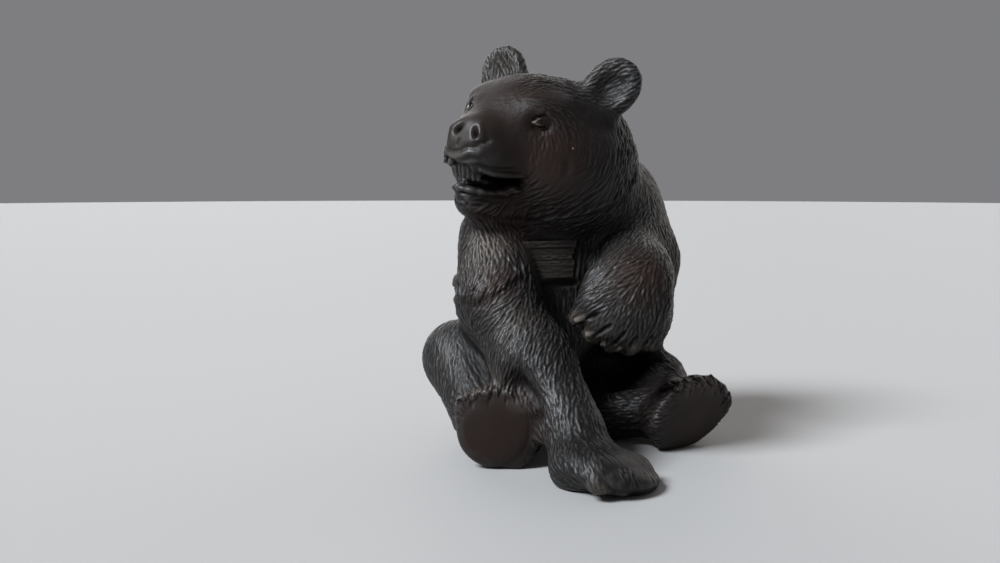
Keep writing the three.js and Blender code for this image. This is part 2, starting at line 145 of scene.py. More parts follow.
@dataclass
class Lumps:
    """Small lumps that are pressed onto the casting before it is fused."""

    parts: list[bpy.types.Object] = field(default_factory=list)
    egg_segments: int = 28
    egg_rings: int = 18
    ball_subdivisions: int = 2
    slab_ease: float = 0.18

    def egg(self, seat: Seat, centre: Place, radii: Place) -> None:
        """Adds an egg.

        Args:
            seat: The frame that it lies in.
            centre: Its middle in that frame.
            radii: Its three half sizes along that frame's axes.
        """
        bpy.ops.object.select_all(action="DESELECT")
        segments, rings = self.egg_segments, self.egg_rings
        bpy.ops.mesh.primitive_uv_sphere_add(segments=segments, ring_count=rings, radius=1.0)
        egg = bpy.context.object
        egg.matrix_world = seat.matrix() @ Matrix.Translation(centre) @ Matrix.Diagonal((*radii, 1.0))
        bpy.ops.object.transform_apply(location=True, rotation=True, scale=True)
        self.parts.append(egg)

    def hull(self, places: np.ndarray, radii: list[float]) -> None:
        """Adds the tight skin around some balls.

        Args:
            places: The balls' middles, in the figure's frame.
            radii: Their radii.
        """
        bpy.ops.object.select_all(action="DESELECT")
        balls = []
        for place, radius in zip(places, radii):
            bpy.ops.mesh.primitive_ico_sphere_add(
                subdivisions=self.ball_subdivisions, radius=radius, location=tuple(place)
            )
            balls.append(bpy.context.object)
        for ball in balls:
            ball.select_set(True)
        bpy.ops.object.join()
        bpy.ops.object.mode_set(mode="EDIT")
        bpy.ops.mesh.select_all(action="SELECT")
        bpy.ops.mesh.convex_hull()
        bpy.ops.object.mode_set(mode="OBJECT")
        bpy.ops.object.transform_apply(location=True, rotation=True, scale=True)
        self.parts.append(bpy.context.object)

    def horn(self, places: np.ndarray, radii: list[float]) -> None:
        """Adds a tapered, bent rod with round ends.

        Args:
            places: Points along it, in the figure's frame.
            radii: Its half thickness at each point.
        """
        for i in range(len(places) - 1):
            self.hull(places[i : i + 2], radii[i : i + 2])

    def slab(self, seat: Seat, centre: Place, halves: Place) -> None:
        """Adds a small block with eased edges.

        Args:
            seat: The frame that it lies in.
            centre: Its middle in that frame.
            halves: Its three half sizes along that frame's axes.
        """
        bpy.ops.object.select_all(action="DESELECT")
        bpy.ops.mesh.primitive_cube_add(size=2.0)
        slab = bpy.context.object
        slab.matrix_world = seat.matrix() @ Matrix.Translation(centre) @ Matrix.Diagonal((*halves, 1.0))
        bpy.ops.object.transform_apply(location=True, rotation=True, scale=True)
        bpy.ops.object.mode_set(mode="EDIT")
        bpy.ops.mesh.select_all(action="SELECT")
        bpy.ops.mesh.bevel(offset=self.slab_ease, segments=2)
        bpy.ops.object.mode_set(mode="OBJECT")
        self.parts.append(slab)

    def press_onto(self, body: bpy.types.Object) -> None:
        """Joins every lump to the body's mesh."""
        bpy.ops.object.select_all(action="DESELECT")
        for part in self.parts:
            part.select_set(True)
        body.select_set(True)
        bpy.context.view_layer.objects.active = body
        bpy.ops.object.join()
        self.parts.clear()


@dataclass
class Skin:
    """The worked surface as arrays, with a lift along the normals that the tools add to."""

    points: np.ndarray
    edges: np.ndarray
    triangles: np.ndarray
    normals: np.ndarray = field(init=False)
    lift: np.ndarray = field(init=False)

    def __post_init__(self) -> None:
        """Starts with no lift and fresh normals."""
        self.lift = np.zeros(len(self.points))
        self.degree = np.maximum(np.bincount(self.edges.ravel(), minlength=len(self.points)), 1)
        self.normals = self.find_normals()

    @classmethod
    def of(cls, obj: bpy.types.Object) -> "Skin":
        """Reads an object's mesh."""
        mesh = obj.data
        mesh.calc_loop_triangles()
        points = np.empty(3 * len(mesh.vertices), np.float32)
        edges = np.empty(2 * len(mesh.edges), np.int32)
        triangles = np.empty(3 * len(mesh.loop_triangles), np.int32)
        mesh.vertices.foreach_get("co", points)
        mesh.edges.foreach_get("vertices", edges)
        mesh.loop_triangles.foreach_get("vertices", triangles)
        return cls(points.reshape(-1, 3).astype(float), edges.reshape(-1, 2), triangles.reshape(-1, 3))

    def put_back(self, obj: bpy.types.Object) -> None:
        """Writes the points back to the mesh that they came from."""
        obj.data.vertices.foreach_set("co", self.points.astype(np.float32).ravel())
        obj.data.update()

    def find_normals(self) -> np.ndarray:
        """Returns the normals at the points, weighted by area."""
        a, b, c = (self.points[self.triangles[:, i]] for i in range(3))
        face = np.cross(b - a, c - a)
        total = np.zeros_like(self.points)
        for i in range(3):
            for k in range(3):
                total[:, k] += np.bincount(self.triangles[:, i], face[:, k], len(self.points))
        return unit(total)

    def spread(self, values: np.ndarray, rounds: int, pull: float = 0.5) -> np.ndarray:
        """Evens values out over the surface.

        Args:
            values: One number or one row for each point.
            rounds: How many times each point is pulled towards its neighbours.
            pull: How far it is pulled each time.

        Returns:
            The evened values.
        """
        out = values.reshape(len(self.points), -1).copy()
        first, second = self.edges.T
        for _ in range(rounds):
            for k in range(out.shape[1]):
                column = out[:, k]
                around = np.bincount(first, column[second], len(column))
                around += np.bincount(second, column[first], len(column))
                out[:, k] = column + pull * (around / self.degree - column)
        return out.reshape(values.shape)

    def relax(self, rounds: int) -> None:
        """Evens the surface itself out and finds its normals again."""
        self.points = self.spread(self.points, rounds)
        self.normals = self.find_normals()

    def near(self, path: np.ndarray, reach: float) -> tuple[np.ndarray, np.ndarray, np.ndarray, np.ndarray]:
        """Finds the points near a run of places.

        Args:
            path: The places, one to a row.
            reach: How far to look.

        Returns:
            The points' numbers, their distances, how far along the run they lie (0 to 1), and the
            offsets from the run to them.
        """
        low, high = path.min(0) - reach, path.max(0) + reach
        found = np.nonzero(((self.points > low) & (self.points < high)).all(1))[0]
        p = self.points[found]
        best = np.full(len(found), np.inf)
        along = np.zeros(len(found))
        offset = np.zeros((len(found), 3))
        pieces = np.diff(path, axis=0)
        lengths = np.linalg.norm(pieces, axis=1)
        starts = np.concatenate([[0.0], np.cumsum(lengths)])
        for i, piece in enumerate(pieces):
            t = np.clip((p - path[i]) @ piece / max(lengths[i] ** 2, 1e-9), 0, 1)
            gap = p - path[i] - t[:, None] * piece
            distance = np.linalg.norm(gap, axis=1)
            closer = distance < best
            best[closer] = distance[closer]
            along[closer] = (starts[i] + t[closer] * lengths[i]) / starts[-1]
            offset[closer] = gap[closer]
        keep = best < reach
        return found[keep], best[keep], along[keep], offset[keep]

    def groove(self, path: np.ndarray, width: float, depth: float, ends: float = 0.25) -> None:
        """Draws a rounded tool along the surface; a negative depth leaves a ridge.

        Args:
            path: Where the tool goes.
            width: The cut's half width.
            depth: The cut's depth in the middle of its run.
            ends: The share of the run over which it fades in and out, or 0 for full ends.
        """
        found, distance, along, _ = self.near(path, GROOVE_REACH * width)
        fade = np.ones(len(found))
        if ends > 0:
            fade = np.clip(np.minimum(along, 1 - along) / ends, 0, 1)
            fade = fade * fade * (3 - 2 * fade)
        self.lift[found] -= depth * fade * np.exp(-((distance / width) ** 2))

    def step(self, path: np.ndarray, over: Place, width: float, height: float) -> None:
        """Makes one side of a line stand over the other.

        Args:
            path: The line.
            over: The direction from the line to the side that stands higher.
            width: The half width of the step.
            height: The height of the step.
        """
        found, distance, along, offset = self.near(path, STEP_REACH * width)
        fade = np.clip(np.minimum(along, 1 - along) / STEP_ENDS, 0, 1)
        side = offset @ unit(np.array(over, float)) / width
        body = np.exp(-((distance / (STEP_BODY * width)) ** 2))
        self.lift[found] += height * fade * body * np.tanh(STEP_EDGE * side) * STEP_SHARE

    def dent(self, centre: np.ndarray, radius: float, depth: float) -> None:
        """Presses a round dent in; a negative depth raises a knob."""
        found = np.nonzero(((self.points - centre) ** 2).sum(1) < (DENT_REACH * radius) ** 2)[0]
        distance = np.linalg.norm(self.points[found] - centre, axis=1)
        self.lift[found] -= depth * np.exp(-((distance / radius) ** 2))

    def ease(self, centre: np.ndarray, radius: float, rounds: int) -> None:
        """Evens the surface out around one place only."""
        distance = np.linalg.norm(self.points - centre, axis=1)
        share = np.clip(EASE_REACH - distance / radius, 0, 1)[:, None]
        self.points = self.points + share * (self.spread(self.points, rounds) - self.points)
        self.normals = self.find_normals()

    def tree(self) -> KDTree:
        """Returns the points in a tree, for finding the nearest one to a place."""
        tree = KDTree(len(self.points))
        for i, point in enumerate(self.points):
            tree.insert(point, i)
        tree.balance()
        return tree

    def settle(self, rounds: int = 0) -> None:
        """Moves the points by their lift and clears it."""
        self.points += self.normals * self.lift[:, None]
        self.lift[:] = 0
        if rounds:
            self.points = self.spread(self.points, rounds)
        self.normals = self.find_normals()


@dataclass(frozen=True)
class Line:
    """One run of the rounded tool in a local frame; a negative depth leaves a ridge."""

    places: tuple[Place, ...]
    width: float
    depth: float
    ends: float

    def cut(self, skin: Skin, seat: Seat, side: int = 1, across: float = 0.0, lean: float = 1.0) -> None:
        """Cuts the run.

        Args:
            skin: The surface.
            seat: The frame that the places lie in.
            side: 1 as given, or -1 mirrored.
            across: How far the run is moved across the frame.
            lean: How much of its own spread across the frame it keeps.
        """
        run = [(x, side * (across + lean * y), z) for x, y, z in self.places]
        skin.groove(seat.path(*run), self.width, self.depth, self.ends)


# Face, paws and chest panel

GUM = Line(((32.6, -7.5, -11.2), (33.7, -3.0, -11.9), (33.6, 0.9, -12.2), (33.2, 4.4, -11.9)), 1.8, 2.3, 0.12)
NOSE_PAD = (
    ((31.3, -3.0, 0.2), 2.1),
    ((31.3, 2.6, 0.4), 2.1),
    ((32.1, -4.9, -1.8), 2.2),
    ((32.0, 4.0, -1.8), 2.2),
    ((33.0, -4.0, -5.4), 2.0),
    ((33.0, 2.8, -4.6), 1.8),
)
UPPER_LIP = (
    ((31.6, 6.6, -10.4), 0.8),
    ((29.0, 9.2, -10.9), 0.8),
    ((25.4, 11.6, -10.4), 0.75),
    ((21.2, 13.3, -9.6), 0.6),
)
LOWER_LIP = (
    (27.2, -3.2, -17.0),
    (28.2, -0.8, -16.8),
    (28.1, 1.8, -16.6),
    (26.4, 3.7, -16.5),
    (24.3, 5.3, -16.1),
    (22.1, 7.4, -15.3),
    (20.4, 9.8, -13.8),
)
FRONT_TOOTH = ((32.9, -3.3, -10.3), (0.9, 1.0, 1.5))
TONGUE = ((19.5, 0.0, -13.6), (8.0, 5.0, 1.5))
MOUTH_WEB = ((21.2, -0.4, -12.2), (8.4, 2.4, 4.2))
EASED_PLACES = (((32.0, 0.0, -1.0), 6.0, 16), ((24.0, 5.0, -16.0), 5.5, 5), ((21.5, 8.5, -14.6), 4.0, 14))
NOSTRIL = Line(((33.8, -0.7, 0.9), (34.3, 0.0, -0.7), (34.1, 0.8, -2.1), (33.5, 1.9, -2.9)), 0.72, 2.0, 0.45)
NOSTRIL_SETS = ((3.3, 1.0), (-2.1, -0.8))
NOSE_WING = Line(((33.2, 3.9, -3.6), (32.4, 5.6, -3.6), (31.8, 7.0, -2.6)), 0.5, 0.6, 0.3)
WING_END = (32.0, 7.1, -2.5)
UNDER_NOSE = ((33.3, -5.8, -6.6), (34.5, -2.0, -7.2), (34.8, 0.8, -6.6), (34.4, 2.8, -5.2))
LIP_CREST = ((33.6, -5.0, -8.4), (34.8, -1.4, -9.0), (34.8, 1.2, -8.2), (34.1, 3.6, -6.7))
FACE_LINES = (
    Line((*UNDER_NOSE, (33.6, 4.9, -5.0), (32.4, 6.6, -3.9)), 0.6, 0.28, 0.4),
    Line((*LIP_CREST, (33.2, 5.7, -6.5), (31.6, 7.6, -4.9)), 0.8, -0.5, 0.3),
    Line(((34.2, 1.0, -10.0), (33.4, 4.6, -8.8), (32.2, 7.0, -8.2)), 0.6, -0.35, 0.35),
    Line(((34.4, -0.6, -3.4), (34.8, -0.9, -4.8), (34.7, -1.0, -6.4)), 0.4, 0.3, 0.35),
    Line(((33.5, 4.9, -8.9), (31.8, 7.4, -9.5), (28.4, 10.0, -9.4), (23.5, 12.6, -8.2)), 0.7, 0.4, 0.25),
    Line(((27.7, -6.2, 3.5), (26.0, -7.4, 5.0), (24.9, -8.5, 6.1)), 0.45, 0.6, 0.2),
    Line(((15.4, 20.5, -1.4), (14.7, 21.5, -4.8), (15.0, 21.2, -8.6)), 1.3, 0.4, 0.4),
)
FAR_BROW = (25.0, -7.0, 8.2)
EAR_BOWL = (4.6, -3.4, 99.6)


@dataclass(frozen=True)
class Eye:
    """One eye: its place, the way that it looks and the side of the head that it is on."""

    place: Place
    looks: Place
    side: int
    ball: float = 1.65
    sunk: float = 0.95
    half_width: float = 2.25
    slant: float = 0.55
    lid_points: int = 9

    def seat(self) -> Seat:
        """Returns the eye's own frame, looking out along x."""
        axes = HEAD.axes()
        return Seat(tuple(HEAD.at(*self.place)), tuple(np.array(self.looks) @ axes), tuple(axes[2]))

    def lid(self, rise: float, stand: float) -> np.ndarray:
        """Returns an arc over the ball from corner to corner.

        Args:
            rise: How far its middle is above the corners, or below them where negative.
            stand: How far it stands off the ball.

        Returns:
            Points along the arc.
        """
        span = np.linspace(-1, 1, self.lid_points)
        y = self.half_width * span
        z = rise * (1 - span**2) + self.slant * self.side * span
        reach = self.ball + stand
        x = np.sqrt(np.maximum(reach**2 - (0.72 * y) ** 2 - (0.8 * z) ** 2, 0.3)) - 1.0
        return self.seat().path(*zip(x, y, z))


@dataclass
class Face:
    """The head's features, in the head's own frame."""

    seat: Seat = HEAD
    eyes: tuple[Eye, ...] = (
        Eye((20.0, 13.5, 5.2), (0.70, 0.70, 0.08), 1),
        Eye((24.0, -9.0, 5.0), (0.84, -0.52, 0.12), -1),
    )
    socket_radius: float = 2.9
    socket_depth: float = 1.1
    lids: tuple[Place, ...] = ((1.0, 0.32, 0.5), (-0.85, 0.12, 0.38))
    lid_folds: tuple[tuple[float, float, float, float], ...] = (
        (1.95, 0.5, 0.4, 0.35),
        (-1.6, 0.3, 0.4, 0.25),
        (3.2, 0.9, 0.9, -0.35),
    )
    teeth: tuple[float, ...] = (-2.4, -0.9, 0.6, 2.1, 3.6, 4.9)
    tooth_front: float = 32.0
    tooth_root: float = -9.8
    tooth_tip: float = -13.6
    chin_drops: tuple[float, ...] = (0.9, 2.5, 3.9)
    chin_creases: int = 14
    seed: int = 8

    def press(self, skin: Skin) -> None:
        """Presses the sockets and the front of the mouth in, before the lumps go on."""
        for eye in self.eyes:
            skin.dent(self.seat.at(*eye.place), self.socket_radius, self.socket_depth)
        GUM.cut(skin, self.seat)
        skin.settle()

    def add_lumps(self, lumps: Lumps) -> None:
        """Adds eyes with their lids, the nose pad, lips, teeth and tongue."""
        seat = self.seat
        for eye in self.eyes:
            lumps.egg(eye.seat(), (-eye.sunk, 0.0, 0.0), (eye.ball, eye.ball * 1.12, eye.ball))
            for rise, stand, thick in self.lids:
                arc = eye.lid(rise, stand)
                taper = 1 - np.linspace(-1, 1, len(arc)) ** 2
                lumps.horn(arc, list(thick * (0.5 + 0.5 * taper)))
        lumps.hull(seat.path(*[place for place, _ in NOSE_PAD]), [radius for _, radius in NOSE_PAD])
        for side in (-1, 1):
            lip = seat.path(*[(x, side * y, z) for (x, y, z), _ in UPPER_LIP])
            lumps.horn(lip, [radius for _, radius in UPPER_LIP])
        lumps.egg(seat, *FRONT_TOOTH)
        for i, y in enumerate(self.teeth):
            front = self.tooth_front - 0.07 * (y - 0.6) ** 2
            tip = (front - 1.0, y + 0.1, self.tooth_tip + 0.25 * (i % 2))
            lumps.horn(seat.path((front, y, self.tooth_root), tip), [0.85, 0.55])
        for i, place in enumerate(LOWER_LIP):
            lumps.egg(seat, place, (2.4, 2.7, 1.2 + 0.15 * (i % 2)))
        lumps.egg(seat, *TONGUE)
        lumps.egg(seat, *MOUTH_WEB)

    def carve(self, skin: Skin) -> None:
        """Cuts the nose, the lip lines, the folds of chin and lids, the far brow and the ear's bowl."""
        seat = self.seat
        for place, radius, rounds in EASED_PLACES:
            skin.ease(seat.at(*place), radius, rounds)
        for across, lean in NOSTRIL_SETS:
            NOSTRIL.cut(skin, seat, across=across, lean=lean)
        x, y, z = WING_END
        for side in (-1, 1):
            NOSE_WING.cut(skin, seat, side)
            skin.dent(seat.at(x, side * y, z), 0.9, 0.5)
        for line in FACE_LINES:
            line.cut(skin, seat)
        self.carve_chin(skin)
        for eye in self.eyes:
            for rise, stand, width, depth in self.lid_folds:
                skin.groove(eye.lid(rise, stand), width, depth)
        skin.dent(seat.at(*FAR_BROW), 2.2, -0.5)
        skin.dent(np.array(EAR_BOWL), 3.0, 0.9)

    def carve_chin(self, skin: Skin) -> None:
        """Cuts the chin's folds and the small creases over them."""
        for k, drop in enumerate(self.chin_drops):
            fold = (
                (28.9 - 0.3 * k, -2.6, -17.0 - drop),
                (29.6 - 0.3 * k, 0.4, -16.7 - 1.1 * drop),
                (27.6, 4.0, -16.6 - 0.9 * drop),
                (24.0, 7.0, -15.4 - drop),
                (21.6, 10.0, -13.8 - 0.9 * drop),
            )
            Line(fold, 0.45, 0.65 - 0.1 * k, 0.2).cut(skin, self.seat)
        rng = np.random.default_rng(self.seed)
        for _ in range(self.chin_creases):
            turn, low = rng.uniform(-0.9, 0.9), rng.uniform(-21.0, -16.5)
            x, y = 23.5 + 5.6 * np.cos(turn), 1.5 + 7.0 * np.sin(turn)
            bend = rng.uniform(-0.8, 0.8, 2)
            crease = ((x, y - 1.6, low + bend[0]), (x + 0.4, y, low), (x, y + 1.6, low + bend[1]))
            Line(crease, 0.4, rng.uniform(0.2, 0.5), 0.3).cut(skin, self.seat)


@dataclass
class Toes:
    """Five toes on a fore paw or a hind foot; a hind foot has claws, curls and perhaps a pad."""

    seat: Seat
    length: float
    width: float
    thick: float
    cleft: float
    hind: bool = False
    spread: float = 0.0
    pad: tuple[float, float] | None = None
    count: int = 5
    seed: int = 21
    claw_run: tuple[tuple[float, float], ...] = ((-0.5, 1.25), (0.25, 0.75), (0.35, -0.2))
    claw_ribs: tuple[tuple[float, float], ...] = ((0.0, 1.05), (0.62, 0.7), (-0.62, 0.7))
    pad_centre: tuple[float, float] = (0.6, -0.2)
    pad_sunk: float = 1.95
    pad_edge: float = 2.6
    pad_points: int = 28

    def places(self) -> list[tuple[float, float, float, float]]:
        """Returns each toe's reach, its place across, its drop and its half width."""
        share, back, curve = (1.75, 1.0, 1.1) if self.hind else (1.8, 0.9, 1.05)
        toe = self.width / (self.count * share)
        found = []
        for i in range(self.count):
            across = (i / (self.count - 1) - 0.5) * (self.width - (2.0 if self.hind else 1.8) * toe)
            reach = self.length / 2 - back * toe - across**2 / (self.width * curve)
            drop = 0.7 * toe if self.hind else toe - 0.46 * self.thick
            found.append((reach, across + self.spread, drop, toe))
        return found

    def add_lumps(self, lumps: Lumps, form: KDTree) -> None:
        """Adds a hind foot's pad, claws and curls.

        Args:
            lumps: The lumps that they join.
            form: The points of the form that the curls lie on, where the foot has no pad of its own.
        """
        if not self.hind:
            return
        if self.pad:
            self.add_pad(lumps)
        for reach, across, drop, toe in self.places():
            for shift, thick in self.claw_ribs:
                aside = shift * toe
                run = []
                for ahead, down in self.claw_run:
                    far = reach + ahead * toe - 0.3 * abs(aside)
                    run.append((far, across + aside, drop + down * toe))
                lumps.horn(self.seat.path(*run), [thick, thick, 0.7 * thick])
        self.add_curls(lumps, form)

    def add_pad(self, lumps: Lumps) -> None:
        """Adds a round, slightly domed pad over the sole."""
        x, y = self.pad_centre
        turns = np.linspace(0, 2 * np.pi, self.pad_points, endpoint=False)
        rim = [(x + self.pad[0] * np.cos(t), y + self.pad[1] * np.sin(t), self.pad_sunk) for t in turns]
        dome, core = (x, y, 3.0), (1.0, -1.0, 5.0)
        lumps.hull(self.seat.path(*rim, dome, core), [self.pad_edge] * len(rim) + [4.1, 4.0])

    def add_curls(self, lumps: Lumps, form: KDTree) -> None:
        """Adds small curls of hair over the rounded edge above the sole.

        Args:
            lumps: The lumps that they join.
            form: The points of the form that they lie on, where the foot has no pad of its own.
        """
        rng = np.random.default_rng(self.seed + 1)
        reach, across, drop, toe = (np.array(v) for v in zip(*self.places()))
        stand, middle = 1.02 * toe[0], drop[0]
        first = across[0] - (0.8 if self.pad else 3.0)
        for a in np.linspace(first, across[-1] + 0.6, 13 if self.pad else 15):
            for _ in range(3):
                tilt, turn = rng.uniform(0.15, 1.3), rng.uniform(-0.9, 0.9)
                side = a + rng.uniform(-0.6, 0.6)
                past = max(abs(side - self.spread) - across[-1] + self.spread, 0.0)
                base = np.interp(side, across, reach) - 0.5 * past
                run = []
                for k in (-0.75, 0.0, 0.75):
                    lift = tilt + k * np.cos(turn) / toe[0]
                    far, low = base + stand * np.cos(lift), middle - stand * np.sin(lift)
                    run.append((far, side + k * np.sin(turn), low))
                size = rng.uniform(0.5, 0.85)
                places = self.seat.path(*run)
                if not self.pad:
                    places = np.array([form.find(Vector(place))[0] for place in places])
                lumps.horn(places, [0.7 * size, size, 0.6 * size])

    def carve(self, skin: Skin) -> None:
        """Cuts the clefts between the toes and, on a hind foot, the strokes over its edge."""
        places = self.places()
        for (r0, a0, d0, toe), (r1, a1, d1, _) in zip(places, places[1:]):
            a, r, d = (a0 + a1) / 2, (r0 + r1) / 2, (d0 + d1) / 2
            if self.hind:
                run = (
                    (r - 3.0, 0.95 * a, -0.1),
                    (r - 0.6, a, -0.1),
                    (r + 0.6 * toe, a, 0.7 * toe),
                    (r, a, 1.7 * toe),
                    (r - 3.0, 0.9 * a, 2.4 * toe),
                )
                Line(run, 0.5, self.cleft, 0.2).cut(skin, self.seat)
            else:
                run = (
                    (r - 5.5, 0.85 * a, d + 2.2 * toe),
                    (r - 2.5, 0.95 * a, d + 1.6 * toe),
                    (r + 0.4 * toe, a, d + 0.6 * toe),
                    (r + 0.6 * toe, a, d - 0.8 * toe),
                )
                Line(run, 0.6, self.cleft, 0.3).cut(skin, self.seat)
        if self.hind:
            self.carve_band(skin)

    def carve_band(self, skin: Skin) -> None:
        """Cuts short strokes over the rounded edge above the sole."""
        rng = np.random.default_rng(self.seed)
        reach, across, drop, toe = (np.array(v) for v in zip(*self.places()))
        d, t = drop[0], toe[0]
        for a in np.arange(across[0] - 1.5, across[-1] + 1.5, 0.95):
            a += rng.uniform(-0.25, 0.25)
            r = np.interp(a, across, reach)
            low, high = rng.uniform(-2.6, -1.0), rng.uniform(0.6, 1.6)
            run = ((r + low, a, -0.1), (r + 0.3 * t, a, 0.3 * t), (r + 0.4 * t, a + 0.2, d + high * t))
            Line(run, 0.34, rng.uniform(0.25, 0.5), 0.25).cut(skin, self.seat)


@dataclass
class ChestPanel:
    """The small panel on the chest: a raised head band over rows of worn strokes."""

    seat: Seat = PANEL
    half_width: float = 6.9
    half_height: float = 5.8
    stand: float = 0.55
    band_drop: float = 1.1
    band_halves: Place = (7.8, 1.05, 1.25)
    rib_half: float = 0.8
    rule_rise: float = 0.86
    rows: int = 5
    strands: tuple[tuple[float, float], ...] = ((8.4, 7.4), (10.6, 8.8))
    seed: int = 3

    def row_height(self, row: int) -> float:
        """Returns the middle height of one row under the head band."""
        return self.half_height - 3.0 - row * (2 * self.half_height - 3.2) / self.rows

    def add_lumps(self, lumps: Lumps) -> None:
        """Adds the head band and one rib for each row, each with its own ragged end."""
        rng = np.random.default_rng(self.seed)
        lumps.slab(self.seat, (-0.6, self.half_height - self.band_drop, self.stand), self.band_halves)
        for row in range(self.rows):
            end = -0.9 - rng.uniform(0.0, 0.9)
            thick = 1.0 + rng.uniform(0.0, 0.22)
            halves = (self.half_width + 0.5, self.rib_half, thick)
            lumps.slab(self.seat, (end, self.row_height(row), self.stand), halves)

    def carve(self, skin: Skin) -> None:
        """Cuts the rows of short strokes and the strands that hang beside the panel."""
        rng = np.random.default_rng(self.seed + 1)
        w, h, top = self.half_width, self.half_height, self.stand + 1.2
        for row in range(-1, self.rows):
            y = h - self.band_drop if row < 0 else self.row_height(row)
            stops = np.linspace(-w, w - 0.6, 6)
            rule = tuple((x, y + self.rule_rise + rng.uniform(-0.1, 0.1), top) for x in stops)
            if row >= 0:
                Line(rule, 0.3, rng.uniform(0.05, 0.2), 0.08).cut(skin, self.seat)
            x = -w + 1.0
            while x < w - 1.4:
                length = rng.uniform(1.0, 3.2)
                rise = y + rng.uniform(-0.45, 0.45)
                stroke = ((x, rise, top), (x + length, rise + rng.uniform(-0.2, 0.2), top))
                Line(stroke, 0.24, rng.uniform(0.05, 0.18), 0.3).cut(skin, self.seat)
                x += length * rng.uniform(0.4, 0.8)
        ledge = ((-w + 2.0, -h - 0.3, 0.6), (0.0, -h - 0.5, 0.6), (w + 0.6, -h - 0.2, 0.6))
        Line(ledge, 0.8, 0.9, 0.12).cut(skin, self.seat)
        for high, low in self.strands:
            strand = ((high + 0.6, 6.4, -0.2), (high, 2.0, -0.2), (low, -2.5, 0.2), (low - 0.8, -6.4, 0.4))
            Line(strand, 0.7, -0.85, 0.25).cut(skin, self.seat)
            beside = tuple((x + 1.1, y, z) for x, y, z in strand)
            Line(beside, 0.5, 0.7, 0.25).cut(skin, self.seat)


